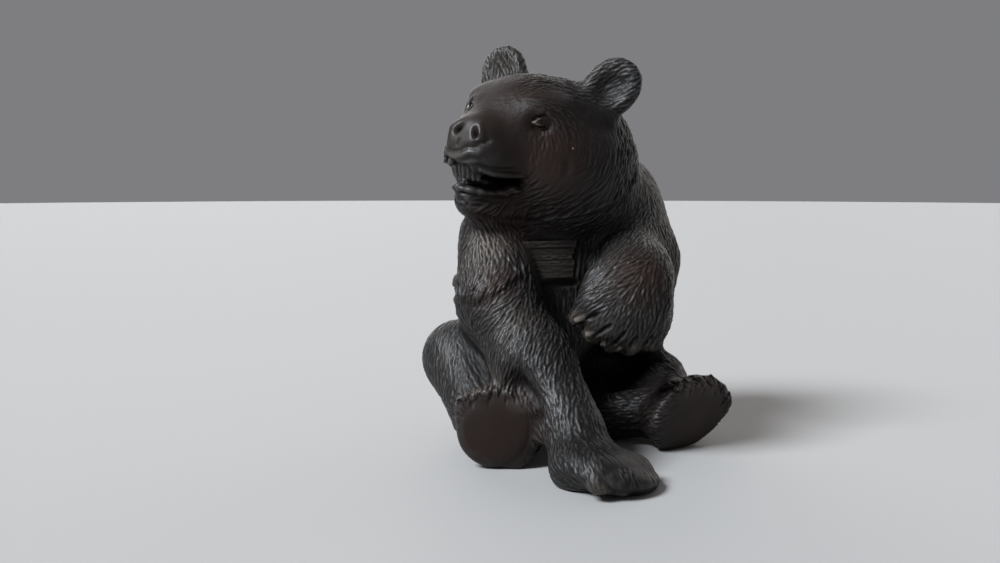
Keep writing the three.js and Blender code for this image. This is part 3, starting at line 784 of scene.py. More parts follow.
@dataclass
class Folds:
    """The coat's larger folds: ruff, sleeve, elbow and forearm, and the held paw's claws."""

    ruff: tuple[Place, ...] = (
        (-33.0, 2.0, 67.0),
        (-30.3, 1.5, 66.1),
        (-23.8, 3.7, 64.6),
        (-15.6, 2.1, 64.0),
        (-9.1, -3.6, 64.4),
        (-3.9, -5.3, 65.2),
        (2.2, -5.1, 66.5),
        (9.1, -3.2, 69.4),
        (17.0, 2.6, 72.9),
    )
    sleeve: tuple[Place, ...] = (
        (-31.0, 14.0, 46.0),
        (-35.0, 8.0, 44.4),
        (-35.8, 2.5, 43.2),
        (-35.0, -1.4, 42.4),
        (-33.6, -4.0, 42.2),
        (-30.8, -6.2, 43.8),
        (-27.7, -7.0, 45.9),
        (-24.0, -6.2, 47.9),
        (-20.0, -4.9, 48.7),
        (-16.8, -4.1, 47.2),
    )
    held_claws: tuple[tuple[Place, Place, Place, float], ...] = (
        ((-5.4, -18.9, 39.5), (-7.6, -17.8, 38.7), (-9.4, -16.2, 37.9), 1.75),
        ((-2.6, -20.2, 36.3), (-4.8, -19.2, 35.2), (-6.8, -17.8, 34.2), 1.85),
        ((-1.6, -20.6, 34.0), (-2.6, -20.3, 32.6), (-3.2, -19.4, 31.4), 1.0),
        ((0.8, -21.8, 32.4), (0.4, -21.6, 31.0), (0.0, -20.6, 30.2), 1.0),
        ((4.1, -23.0, 32.6), (3.8, -22.8, 31.2), (3.5, -21.8, 30.3), 0.95),
        ((8.6, -23.4, 32.8), (8.4, -23.0, 31.4), (8.2, -22.0, 30.5), 0.95),
    )
    held_clefts: tuple[tuple[Place, Place, Place], ...] = (
        ((-5.4, -22.6, 40.6), (-7.6, -19.8, 38.9), (-9.4, -15.6, 36.3)),
        ((-2.5, -24.2, 37.9), (-4.9, -22.0, 35.6), (-6.6, -18.3, 33.0)),
        ((0.8, -25.6, 36.1), (-1.1, -23.7, 33.3), (-2.0, -20.7, 31.0)),
        ((4.1, -25.9, 34.6), (2.6, -24.7, 32.4), (2.0, -22.7, 29.8)),
        ((8.0, -26.0, 34.4), (6.8, -24.9, 32.2), (6.2, -22.9, 29.9)),
    )
    flank: tuple[Place, ...] = (
        (-31.5, -15.0, 26.0),
        (-28.6, -19.8, 22.4),
        (-26.8, -23.0, 19.0),
        (-26.0, -24.4, 15.0),
        (-25.2, -23.2, 11.0),
        (-24.0, -21.0, 6.0),
    )
    heel_corner: Place = (-42.0, -13.5, 0.0)
    heel: Place = (-39.0, -14.0, 3.0)
    paw_front: Place = (8.5, 0.0, -1.0)
    paw_cap: tuple[Place, Place] = ((1.4, 0.0, -0.6), (10.4, 13.2, 4.4))
    paw_creases: int = 16
    lock_points: int = 5
    elbow_folds: tuple[tuple[Place, Place], ...] = (
        ((-33.0, 7.8, 47.0), (2.6, 5.0, 2.6)),
        ((-34.2, 4.6, 42.2), (2.6, 5.0, 2.7)),
    )
    seed: int = 5

    def press(self, skin: Skin) -> None:
        """Draws in the right heel's corner and the forearm's flank, and eases heel and planted paw."""
        skin.dent(np.array(self.heel_corner), 6.0, 3.6)
        skin.settle()
        skin.ease(np.array(self.heel), 7.0, 60)
        skin.ease(RIGHT_PAW.at(*self.paw_front), 9.0, 110)
        skin.groove(np.array(self.flank), 3.8, 5.0, 0.3)
        skin.settle(6)

    def add_lumps(self, lumps: Lumps) -> None:
        """Adds the held paw's claws, a smooth cap over the planted paw's toes and the elbow's folds."""
        for root, middle, tip, thick in self.held_claws:
            lumps.horn(np.array([root, middle, tip]), [thick, 0.95 * thick, 0.55 * thick])
        lumps.egg(RIGHT_PAW, *self.paw_cap)
        for centre, radii in self.elbow_folds:
            lumps.egg(Seat(centre, (1.0, 0.0, 0.0), (0.0, 0.0, 1.0)), (0.0, 0.0, 0.0), radii)

    def carve(self, skin: Skin, coat: "Coat") -> None:
        """Makes the ruff and the sleeve stand over what is under them, with locks of hair over their edges.

        Args:
            skin: The surface.
            coat: The coat, which gives the way that the locks run.
        """
        ruff, sleeve = np.array(self.ruff), np.array(self.sleeve)
        skin.step(ruff, (0.0, 0.0, 1.0), 1.5, 0.9)
        skin.groove(ruff - (0.0, 0.0, 1.4), 1.0, 0.5, 0.15)
        skin.step(sleeve, (0.0, -0.2, 1.0), 1.4, 0.7)
        for cleft in self.held_clefts:
            skin.groove(np.array(cleft), 0.55, 0.8, 0.3)
        rng = np.random.default_rng(self.seed)
        for _ in range(self.paw_creases):
            reach, across = rng.uniform(6.5, 10.5), rng.uniform(-9.0, 0.0)
            bend = across + rng.uniform(-1.0, 1.0, 2)
            run = ((reach - 1.4, across, 3.0), (reach, bend[0], 1.0), (reach + 1.2, bend[1], -1.6))
            Line(run, 0.4, rng.uniform(0.15, 0.5), 0.3).cut(skin, RIGHT_PAW)
        tree = skin.tree()
        for line, count, back, ahead, thick in ((ruff, 34, 5.5, 1.8, 0.45), (sleeve, 30, 3.6, 1.5, 0.4)):
            lengths = np.linalg.norm(np.diff(line, axis=0), axis=1)
            far = np.concatenate([[0.0], np.cumsum(lengths)])
            stops = (np.linspace(0.03, 0.97, count) + rng.uniform(-0.012, 0.012, count)) * far[-1]
            marks = np.stack([np.interp(stops, far, line[:, k]) for k in range(3)], 1)
            ways, _ = coat.flow(marks)
            for mark, way in zip(marks, unit(ways)):
                mark = mark - way * rng.uniform(-0.7, 1.6)
                reaches = np.linspace(-back, ahead, self.lock_points)
                lock = [tree.find(Vector(mark + way * reach))[0] for reach in reaches]
                size = thick * rng.uniform(0.8, 1.2)
                skin.groove(np.array(lock), size, -rng.uniform(0.2, 0.55), 0.35)


# The carved coat


@dataclass(frozen=True)
class Cut:
    """One kind of cut of the gouge: its length, half width and depth."""

    length: float
    width: float
    depth: float


class Lay(Enum):
    """How the coat lies in a tract."""

    FAINT = Cut(3.0, 0.36, 0.03)
    FINE = Cut(2.8, 0.33, 0.14)
    SOFT = Cut(3.6, 0.34, 0.15)
    SHORT = Cut(3.2, 0.34, 0.25)
    DEEP = Cut(3.7, 0.35, 0.34)
    LONG = Cut(7.6, 0.35, 0.18)


@dataclass(frozen=True)
class Tract:
    """The way that the coat runs at one place, from root to tip."""

    start: Place
    end: Place
    lay: Lay


@dataclass(frozen=True)
class Bare:
    """A worn or smooth place where the coat is cut less, or not at all."""

    centre: Place
    radius: float
    keep: float


def head_place(x: float, y: float, z: float) -> Place:
    """Returns a place on the head in the figure's frame."""
    return tuple(float(v) for v in HEAD.at(x, y, z))


RIGHT_ARM_TRACTS = (
    Tract((-32.7, 2.8, 65), (-31.6, 8, 57), Lay.DEEP),
    Tract((-28.7, 6, 63), (-27.5, 1.5, 55.7), Lay.DEEP),
    Tract((-25, 4.3, 62.4), (-22.5, -0.3, 55.7), Lay.DEEP),
    Tract((-31.6, 6.4, 55.5), (-33.7, 0.2, 48), Lay.DEEP),
    Tract((-27.8, 0.6, 54.5), (-30.2, -3.6, 48), Lay.DEEP),
    Tract((-22.4, -0.4, 55.7), (-21.2, -5, 49.3), Lay.DEEP),
    Tract((-25.3, -4.5, 50.2), (-30.8, -6.3, 44.1), Lay.SHORT),
    Tract((-30.4, -2.6, 49.4), (-34.5, -2.2, 43.3), Lay.SHORT),
    Tract((-20, -3.3, 51), (-21.6, -7.5, 46), Lay.DEEP),
    Tract((-21.8, -7.9, 45.6), (-28.6, -9.6, 40.1), Lay.DEEP),
    Tract((-27.2, -9.5, 41.9), (-32.3, -6.6, 37.3), Lay.DEEP),
    Tract((-29.1, -11, 36.9), (-31.5, -9.8, 31.6), Lay.DEEP),
    Tract((-20.1, -9.4, 43), (-24.3, -16.6, 36.1), Lay.DEEP),
    Tract((-19.4, -14.7, 38.2), (-23.8, -20.4, 32.7), Lay.DEEP),
    Tract((-14, -9, 40), (-15.8, -17, 35.7), Lay.DEEP),
    Tract((-17.4, -20.3, 33.6), (-20.6, -24.6, 28), Lay.DEEP),
    Tract((-26.5, -18.6, 32.6), (-28.8, -18.9, 27.6), Lay.DEEP),
    Tract((-25.7, -23.6, 24.3), (-24.6, -27.9, 18.6), Lay.SHORT),
    Tract((-19.9, -29.4, 22.4), (-21, -33.3, 17), Lay.SHORT),
    Tract((-13.7, -24.7, 26.3), (-15.6, -32.2, 20.1), Lay.SHORT),
    Tract((-22, -34.5, 13.5), (-24.1, -40.7, 8.9), Lay.SHORT),
    Tract((-15.1, -37.2, 14.8), (-14.7, -45, 10.4), Lay.SHORT),
    Tract((-21.1, -44.7, 9.6), (-21.3, -48, 5.7), Lay.SOFT),
    Tract((-12, -47.5, 9.5), (-8.8, -51.9, 5.5), Lay.SOFT),
    Tract((-4, -38, 8), (0, -44, 4), Lay.SOFT),
    Tract((-10, -20, 22), (-8, -32, 14), Lay.SHORT),
    Tract((-24, 20, 60), (-29, 14, 48), Lay.SHORT),
    Tract((-31, 8, 44), (-30, 0, 34), Lay.SHORT),
)
LEFT_ARM_TRACTS = (
    Tract((6.6, -20.7, 53.2), (-3, -19.5, 50), Lay.DEEP),
    Tract((2.8, -22.4, 50), (-7.1, -19.1, 46.1), Lay.DEEP),
    Tract((2.7, -23.8, 47.5), (-5.5, -22, 42.4), Lay.DEEP),
    Tract((3.2, -24.5, 46.3), (-2.4, -24.5, 38.7), Lay.SHORT),
    Tract((4.5, -24.8, 46.3), (0.7, -25.7, 36.1), Lay.SHORT),
    Tract((8.6, -22.4, 51.2), (6, -26.7, 36), Lay.DEEP),
    Tract((13.2, -19.3, 53.5), (9, -27.5, 38.5), Lay.DEEP),
    Tract((-8.4, -18.9, 44.8), (-10.4, -13.8, 40.4), Lay.SHORT),
    Tract((25.2, 0, 56), (27.2, -0.7, 46), Lay.SHORT),
    Tract((19.1, 4, 64.6), (11.2, 2, 57.5), Lay.SOFT),
    Tract((10, -6, 57), (4, -13, 54), Lay.SHORT),
    Tract((3.4, -15.2, 56.1), (-2.2, -17.7, 52.4), Lay.SHORT),
    Tract((26.1, 8.3, 68.7), (24.2, 1.4, 58.9), Lay.SOFT),
    Tract((33, 16, 58), (33, 12, 44), Lay.SHORT),
    Tract((28, 2, 40), (20, -10, 42), Lay.SHORT),
    Tract((22, -6, 52), (17, -16, 46), Lay.SHORT),
    Tract((26, 10, 34), (18, 0, 31), Lay.SHORT),
    Tract((2, -9, 46), (-2, -10, 38), Lay.SOFT),
)
TRUNK_TRACTS = (
    Tract((-8.6, -2.6, 62), (-15.2, 3.1, 60.3), Lay.SHORT),
    Tract((4, -1.3, 62.2), (-2.5, 1.1, 58), Lay.SHORT),
    Tract((2.2, 1.4, 57.9), (-0.4, 0.2, 48.2), Lay.SHORT),
    Tract((-21, 3.4, 62.3), (-20.1, 1.8, 58.8), Lay.SHORT),
    Tract((14, 2, 60), (8, 0, 54), Lay.SOFT),
    Tract((0, -0.5, 44), (1, -2, 30), Lay.SHORT),
    Tract((-10, 0, 42), (-9, -1, 28), Lay.SHORT),
    Tract((7.7, 9.1, 21.7), (6.6, 1.8, 13.4), Lay.DEEP),
    Tract((6, 38, 90), (14, 44, 74), Lay.SHORT),
    Tract((34, 28, 76), (36, 28, 60), Lay.SOFT),
    Tract((18, 30, 84), (26, 40, 74), Lay.SHORT),
    Tract((20, 12, 78), (28, 16, 66), Lay.SOFT),
    Tract((14, 46, 62), (13, 47, 44), Lay.SHORT),
    Tract((10, 49, 38), (9, 53, 22), Lay.SHORT),
    Tract((30, 30, 50), (31, 28, 34), Lay.SHORT),
    Tract((-14, 34, 50), (-15, 36, 34), Lay.SHORT),
    Tract((-22, 28, 66), (-24, 24, 54), Lay.SHORT),
    Tract((9, 50, 20), (9, 55, 12), Lay.SHORT),
)
LEG_TRACTS = (
    Tract((-37, 12.5, 31.4), (-39.4, 9.6, 24.9), Lay.SOFT),
    Tract((-37.4, 6.6, 24.8), (-39.5, 3.5, 16.3), Lay.SOFT),
    Tract((-31.7, 6.2, 29.2), (-31.4, -1.5, 22.1), Lay.SOFT),
    Tract((-40, 12.3, 27.4), (-40.6, 11.4, 20.5), Lay.SOFT),
    Tract((-34, -2, 20), (-36, -10, 18), Lay.SOFT),
    Tract((-38, 4, 12), (-38, -8, 8), Lay.SHORT),
    Tract((-24, 6, 16), (-22, -4, 10), Lay.SHORT),
    Tract((-24, 28, 26), (-34, 24, 12), Lay.SHORT),
    Tract((-12, 46, 24), (-18, 42, 8), Lay.SHORT),
    Tract((26, 44, 24), (30, 38, 8), Lay.SHORT),
    Tract((30, 26, 28), (35, 14, 14), Lay.SHORT),
    Tract((26.3, -0.7, 22.2), (30.1, -2.8, 18.8), Lay.SHORT),
    Tract((34, 6, 14), (33, -6, 10), Lay.SHORT),
    Tract((8, -2, 8), (18, -8, 10), Lay.SHORT),
    Tract((16, 6, 24), (24, 0, 20), Lay.SOFT),
)
HEAD_TRACTS = (
    Tract((0.3, -8.8, 80), (-7.4, -9.7, 74.7), Lay.LONG),
    Tract((-11.5, -9.1, 75.2), (-17.5, -2.7, 69.3), Lay.LONG),
    Tract((-17.5, -2.7, 69.3), (-23.9, 3.5, 64.8), Lay.LONG),
    Tract((-2.8, -9.3, 73.3), (-10.5, -6.9, 68.5), Lay.LONG),
    Tract((5.6, -7.2, 78.7), (2.4, -7.8, 71.9), Lay.LONG),
    Tract((2.4, -7.8, 71.9), (-4.7, -7, 67.1), Lay.LONG),
    Tract((-17.8, -3.5, 70.6), (-30.5, 1, 66.6), Lay.LONG),
    Tract((10.1, -4, 82.9), (7.8, -5.9, 74.6), Lay.DEEP),
    Tract((14.9, 2.6, 88.7), (14.6, -0.6, 80.7), Lay.DEEP),
    Tract((-11.5, -9.1, 82.6), (-11, -9.4, 76.8), Lay.FAINT),
    Tract((-2.5, -8.4, 85.3), (-1.4, -9.3, 78.7), Lay.FAINT),
    Tract((1.8, -5.4, 90.9), (4.9, -6.5, 84.1), Lay.FAINT),
    Tract((-19.4, 0, 99.3), (-9.4, 3.1, 101.9), Lay.FINE),
    Tract((-11.6, 1.4, 101.2), (-3.5, -0.5, 98.6), Lay.DEEP),
    Tract((-12.6, -4.6, 97.3), (-2.4, -4.7, 93.5), Lay.FAINT),
    Tract((-26.4, 4.5, 97.5), (-20.1, 1.9, 100.2), Lay.FAINT),
    Tract((-17.6, -6.3, 87.3), (-18.3, -6.8, 82.6), Lay.FINE),
    Tract((-15.0, -7.6, 87.6), (-15.4, -7.9, 83.4), Lay.SHORT),
    Tract((-12.6, -8.2, 88.7), (-11.4, -8.8, 84.7), Lay.SHORT),
    Tract((-15.3, -7.8, 92.3), (-11.7, -8.1, 90.5), Lay.SHORT),
    Tract((-23.8, -4.2, 90.5), (-20.2, -5.8, 91), Lay.FAINT),
    Tract((-25.7, -5.3, 85.2), (-21.6, -5.8, 84.7), Lay.FAINT),
    Tract((-30.2, -6.3, 79.9), (-23.8, -4.2, 77.9), Lay.FAINT),
    Tract((1, -0.5, 102.5), (8.1, -5.7, 105.8), Lay.SHORT),
    Tract((4.3, -3, 97.8), (9.7, -7.4, 100.3), Lay.SHORT),
    Tract((9, 2, 100), (14, -2, 106), Lay.FINE),
    Tract((-14, 27, 103), (-13, 31, 112), Lay.SHORT),
    Tract((-7, 33, 103), (-8, 36, 112), Lay.FINE),
    Tract((-12, 14, 103), (-2, 22, 102), Lay.SHORT),
    Tract((4, 26, 101), (11, 34, 90), Lay.SHORT),
    Tract((-28, 13, 94), (-19, 26, 94), Lay.FAINT),
    Tract((-27, 16, 82), (-16, 29, 78), Lay.SHORT),
    Tract((-15, 31, 78), (-12, 33, 68), Lay.LONG),
    Tract((-6, 36, 86), (-2, 40, 74), Lay.SHORT),
    Tract((16, 14, 92), (18, 16, 82), Lay.SHORT),
)
BARE_SPOTS = (
    Bare(tuple(RIGHT_SOLE.at(-1.5, 0.0, 0.0)), 9.6, 0.0),
    Bare(tuple(LEFT_SOLE.at(-1.5, -1.0, 0.0)), 10.2, 0.0),
    Bare(head_place(32.0, 0.0, -2.0), 7.2, 0.0),
    Bare(head_place(31.0, 0.0, -10.0), 8.0, 0.0),
    Bare(head_place(25.0, 0.0, -14.0), 10.0, 0.1),
    Bare(head_place(19.5, 12.7, 5.2), 2.9, 0.0),
    Bare(head_place(19.5, -12.7, 5.2), 2.9, 0.0),
    Bare(head_place(15.5, 20.0, -7.0), 6.5, 0.25),
    Bare(head_place(26.5, 9.5, -4.0), 5.0, 0.1),
    Bare((-8.4, -16.8, 38.2), 2.0, 0.0),
    Bare((-5.6, -18.2, 34.8), 2.2, 0.0),
    Bare((-3.0, -22.8, 36.6), 3.0, 0.35),
    Bare((3.0, -23.4, 31.6), 3.4, 0.25),
    Bare((-9.2, 1.0, 52.0), 8.6, 0.0),
    Bare((-12.0, -52.0, 4.0), 6.0, 0.2),
)


@dataclass
class Coat:
    """The fur: tapered cuts laid along the tracts."""

    tracts: tuple[Tract, ...] = RIGHT_ARM_TRACTS + LEFT_ARM_TRACTS + TRUNK_TRACTS + LEG_TRACTS + HEAD_TRACTS
    bare: tuple[Bare, ...] = BARE_SPOTS
    seed: int = 11
    tries: int = 170000
    samples: int = 7
    deepest: float = 0.5
    highest: float = 0.24
    chunk: int = 8192
    blend: float = 6.0
    sharpness: float = 2.5
    bare_fade: float = 2.0
    least_depth: float = 0.015
    least_height: float = 0.8
    along_gap: float = 0.5
    across_gap: float = 1.55
    cell: float = 2.4
    look: float = 5.0
    wander: float = 0.13
    taper: float = 0.35
    slim: float = 0.35
    facing: float = 0.1
    reach_along: float = 0.62
    reach_across: float = 2.0
    burr: tuple[float, float, float] = (0.22, 1.7, 0.8)

    def flow(self, points: np.ndarray) -> tuple[np.ndarray, np.ndarray]:
        """Finds how the coat lies at some points.

        Args:
            points: The places to ask about.

        Returns:
            The directions in which it runs, and the length, half width and depth of its cuts.
        """
        starts = np.array([t.start for t in self.tracts])
        ways = np.array([t.end for t in self.tracts]) - starts
        cuts = np.array([[t.lay.value.length, t.lay.value.width, t.lay.value.depth] for t in self.tracts])
        squares = (ways**2).sum(1)
        directions = np.empty_like(points)
        sizes = np.empty((len(points), 3))
        for low in range(0, len(points), self.chunk):
            part = slice(low, low + self.chunk)
            p = points[part, None] - starts
            t = np.clip((p * ways).sum(2) / squares, 0, 1)
            gap = ((p - t[..., None] * ways) ** 2).sum(2)
            weight = (gap + self.blend) ** -self.sharpness
            weight /= weight.sum(1, keepdims=True)
            directions[part] = weight @ unit(ways)
            sizes[part] = weight @ cuts
        for spot in self.bare:
            distance = np.linalg.norm(points - np.array(spot.centre), axis=1)
            fade = np.clip((distance - spot.radius) / self.bare_fade, 0, 1)
            sizes[:, 2] *= spot.keep + (1 - spot.keep) * fade
        return directions, sizes

    def scatter(self, skin: Skin, rng: np.random.Generator) -> tuple[np.ndarray, np.ndarray]:
        """Chooses where the cuts go, so that none lies on another.

        Args:
            skin: The surface.
            rng: The source of chance.

        Returns:
            The chosen points' numbers, and the length, half width and depth of their cuts.
        """
        pick = rng.choice(len(skin.points), min(self.tries, len(skin.points)), replace=False)
        ways, sizes = self.flow(skin.points[pick])
        normals = skin.normals[pick]
        ways = unit(ways - (ways * normals).sum(1, keepdims=True) * normals)
        good = (sizes[:, 2] > self.least_depth) & (skin.points[pick, 2] > self.least_height)
        pick, ways, sizes, normals = pick[good], ways[good], sizes[good], normals[good]
        across = np.cross(normals, ways)
        along_gap, across_gap = self.along_gap * sizes[:, 0], self.across_gap * sizes[:, 1]
        places = skin.points[pick]
        keys = np.floor(places / self.cell).astype(int)
        shelves: dict[tuple[int, int, int], list[int]] = {}
        kept: list[int] = []
        near = [(i, j, k) for i in (-1, 0, 1) for j in (-1, 0, 1) for k in (-1, 0, 1)]
        spots, ways_l, across_l = places.tolist(), ways.tolist(), across.tolist()
        for i, key in enumerate(keys.tolist()):
            x, y, z = spots[i]
            wx, wy, wz = ways_l[i]
            ax, ay, az = across_l[i]
            long2, wide2 = along_gap[i] ** 2, across_gap[i] ** 2
            clear = True
            for di, dj, dk in near:
                for other in shelves.get((key[0] + di, key[1] + dj, key[2] + dk), ()):
                    ox, oy, oz = spots[other]
                    dx, dy, dz = x - ox, y - oy, z - oz
                    s = dx * wx + dy * wy + dz * wz
                    t = dx * ax + dy * ay + dz * az
                    if s * s / long2 + t * t / wide2 < 1.0:
                        clear = False
                        break
                if not clear:
                    break
            if clear:
                shelves.setdefault(tuple(key), []).append(i)
                kept.append(i)
        return pick[kept], sizes[kept]

    def trace(
        self, skin: Skin, tree: KDTree, roots: np.ndarray, lengths: np.ndarray, turn: np.ndarray
    ) -> tuple[np.ndarray, np.ndarray, np.ndarray]:
        """Follows the coat both ways from the middle of each cut.

        Args:
            skin: The surface.
            tree: The surface's points, for finding the nearest one.
            roots: The numbers of the points in the cuts' middles.
            lengths: The cuts' lengths.
            turn: A small angle for each cut, away from the coat's own direction.

        Returns:
            The places along each cut, the directions there and the normals there.
        """
        half = self.samples // 2
        pace = (lengths / self.samples)[:, None]
        places = np.empty((len(roots), self.samples, 3))
        ways = np.empty_like(places)
        normals = np.empty_like(places)
        for sense in (1, -1):
            here = roots.copy()
            spot = skin.points[here].copy()
            for n in range(half + 1):
                normal = skin.normals[here]
                way, _ = self.flow(spot)
                way = unit(way - (way * normal).sum(1, keepdims=True) * normal)
                side = np.cross(normal, way)
                way = way * np.cos(turn)[:, None] + side * np.sin(turn)[:, None]
                slot = half + sense * n
                places[:, slot], ways[:, slot], normals[:, slot] = spot, way, normal
                if n == half:
                    break
                ahead = spot + sense * pace * way
                here = np.array([tree.find(p)[1] for p in ahead])
                flat = ((ahead - skin.points[here]) * skin.normals[here]).sum(1, keepdims=True)
                spot = ahead - flat * skin.normals[here]
        return places, ways, normals

    def carve(self, skin: Skin) -> int:
        """Cuts the whole coat into the surface.

        Args:
            skin: The surface.

        Returns:
            The number of cuts.
        """
        rng = np.random.default_rng(self.seed)
        roots, sizes = self.scatter(skin, rng)
        count = len(roots)
        lengths = sizes[:, 0] * rng.uniform(0.8, 1.3, count)
        widths = sizes[:, 1] * rng.uniform(0.8, 1.25, count)
        depths = sizes[:, 2] * rng.uniform(0.6, 1.25, count)
        lean = np.where(rng.random(count) < 0.5, -1.0, 1.0)
        turn = rng.normal(0, self.wander, count)
        places, ways, normals = self.trace(skin, skin.tree(), roots, lengths, turn)
        sides = np.cross(normals, ways)
        run = np.linspace(-1, 1, self.samples + 2)[1:-1]
        body = np.sqrt(1 - run**2) * (1.0 - self.taper * run)
        order, firsts, lasts = self.shelve(skin.points, skin.points[roots], self.look)
        lift = np.zeros(len(skin.points))
        middle = self.samples // 2
        burr, burr_place, burr_width = self.burr
        for i in range(count):
            close = np.concatenate([order[a:b] for a, b in zip(firsts[i], lasts[i])])
            offset = skin.points[close] - places[i, middle]
            reach = self.reach_along * lengths[i] + self.reach_across * widths[i]
            facing = skin.normals[close] @ normals[i, middle] > self.facing
            close = close[((offset**2).sum(1) < reach**2) & facing]
            gap = skin.points[close][:, None] - places[i]
            s = (gap * ways[i]).sum(2) * (self.samples / lengths[i])
            t = (gap * sides[i]).sum(2) / (widths[i] * (self.slim + (1 - self.slim) * body))
            hat = np.clip(1 - np.abs(s), 0, None)
            shape = -np.exp(-(t**2)) + burr * np.exp(-(((t - burr_place * lean[i]) / burr_width) ** 2))
            lift[close] += depths[i] * (hat * body * shape).sum(1)
        down, up = np.minimum(lift, 0), np.maximum(lift, 0)
        skin.lift += self.deepest * np.tanh(down / self.deepest) + self.highest * np.tanh(up / self.highest)
        return count

    @staticmethod
    def shelve(
        points: np.ndarray, centres: np.ndarray, cell: float
    ) -> tuple[np.ndarray, np.ndarray, np.ndarray]:
        """Args:
            points: The points.
            centres: The places to look around.
            cell: The cells' size, which is also how far a look reaches.

        Returns:
            The points' numbers in order of cell, and the first and last places in that order of the nine
            runs of cells around each centre.
        """
        low = points.min(0) - 2 * cell
        shape = (np.ceil((points.max(0) - low) / cell) + 3).astype(int)
        cells = np.floor((points - low) / cell).astype(int)
        keys = (cells[:, 0] * shape[1] + cells[:, 1]) * shape[2] + cells[:, 2]
        order = np.argsort(keys, kind="stable")
        keys = keys[order]
        here = np.floor((centres - low) / cell).astype(int)
        rows = [(here[:, 0] + i) * shape[1] + here[:, 1] + j for i in (-1, 0, 1) for j in (-1, 0, 1)]
        starts = [row * shape[2] + here[:, 2] for row in rows]
        firsts = np.stack([np.searchsorted(keys, s - 1, "left") for s in starts], 1)
        lasts = np.stack([np.searchsorted(keys, s + 1, "right") for s in starts], 1)
        return order, firsts, lasts


# Finish


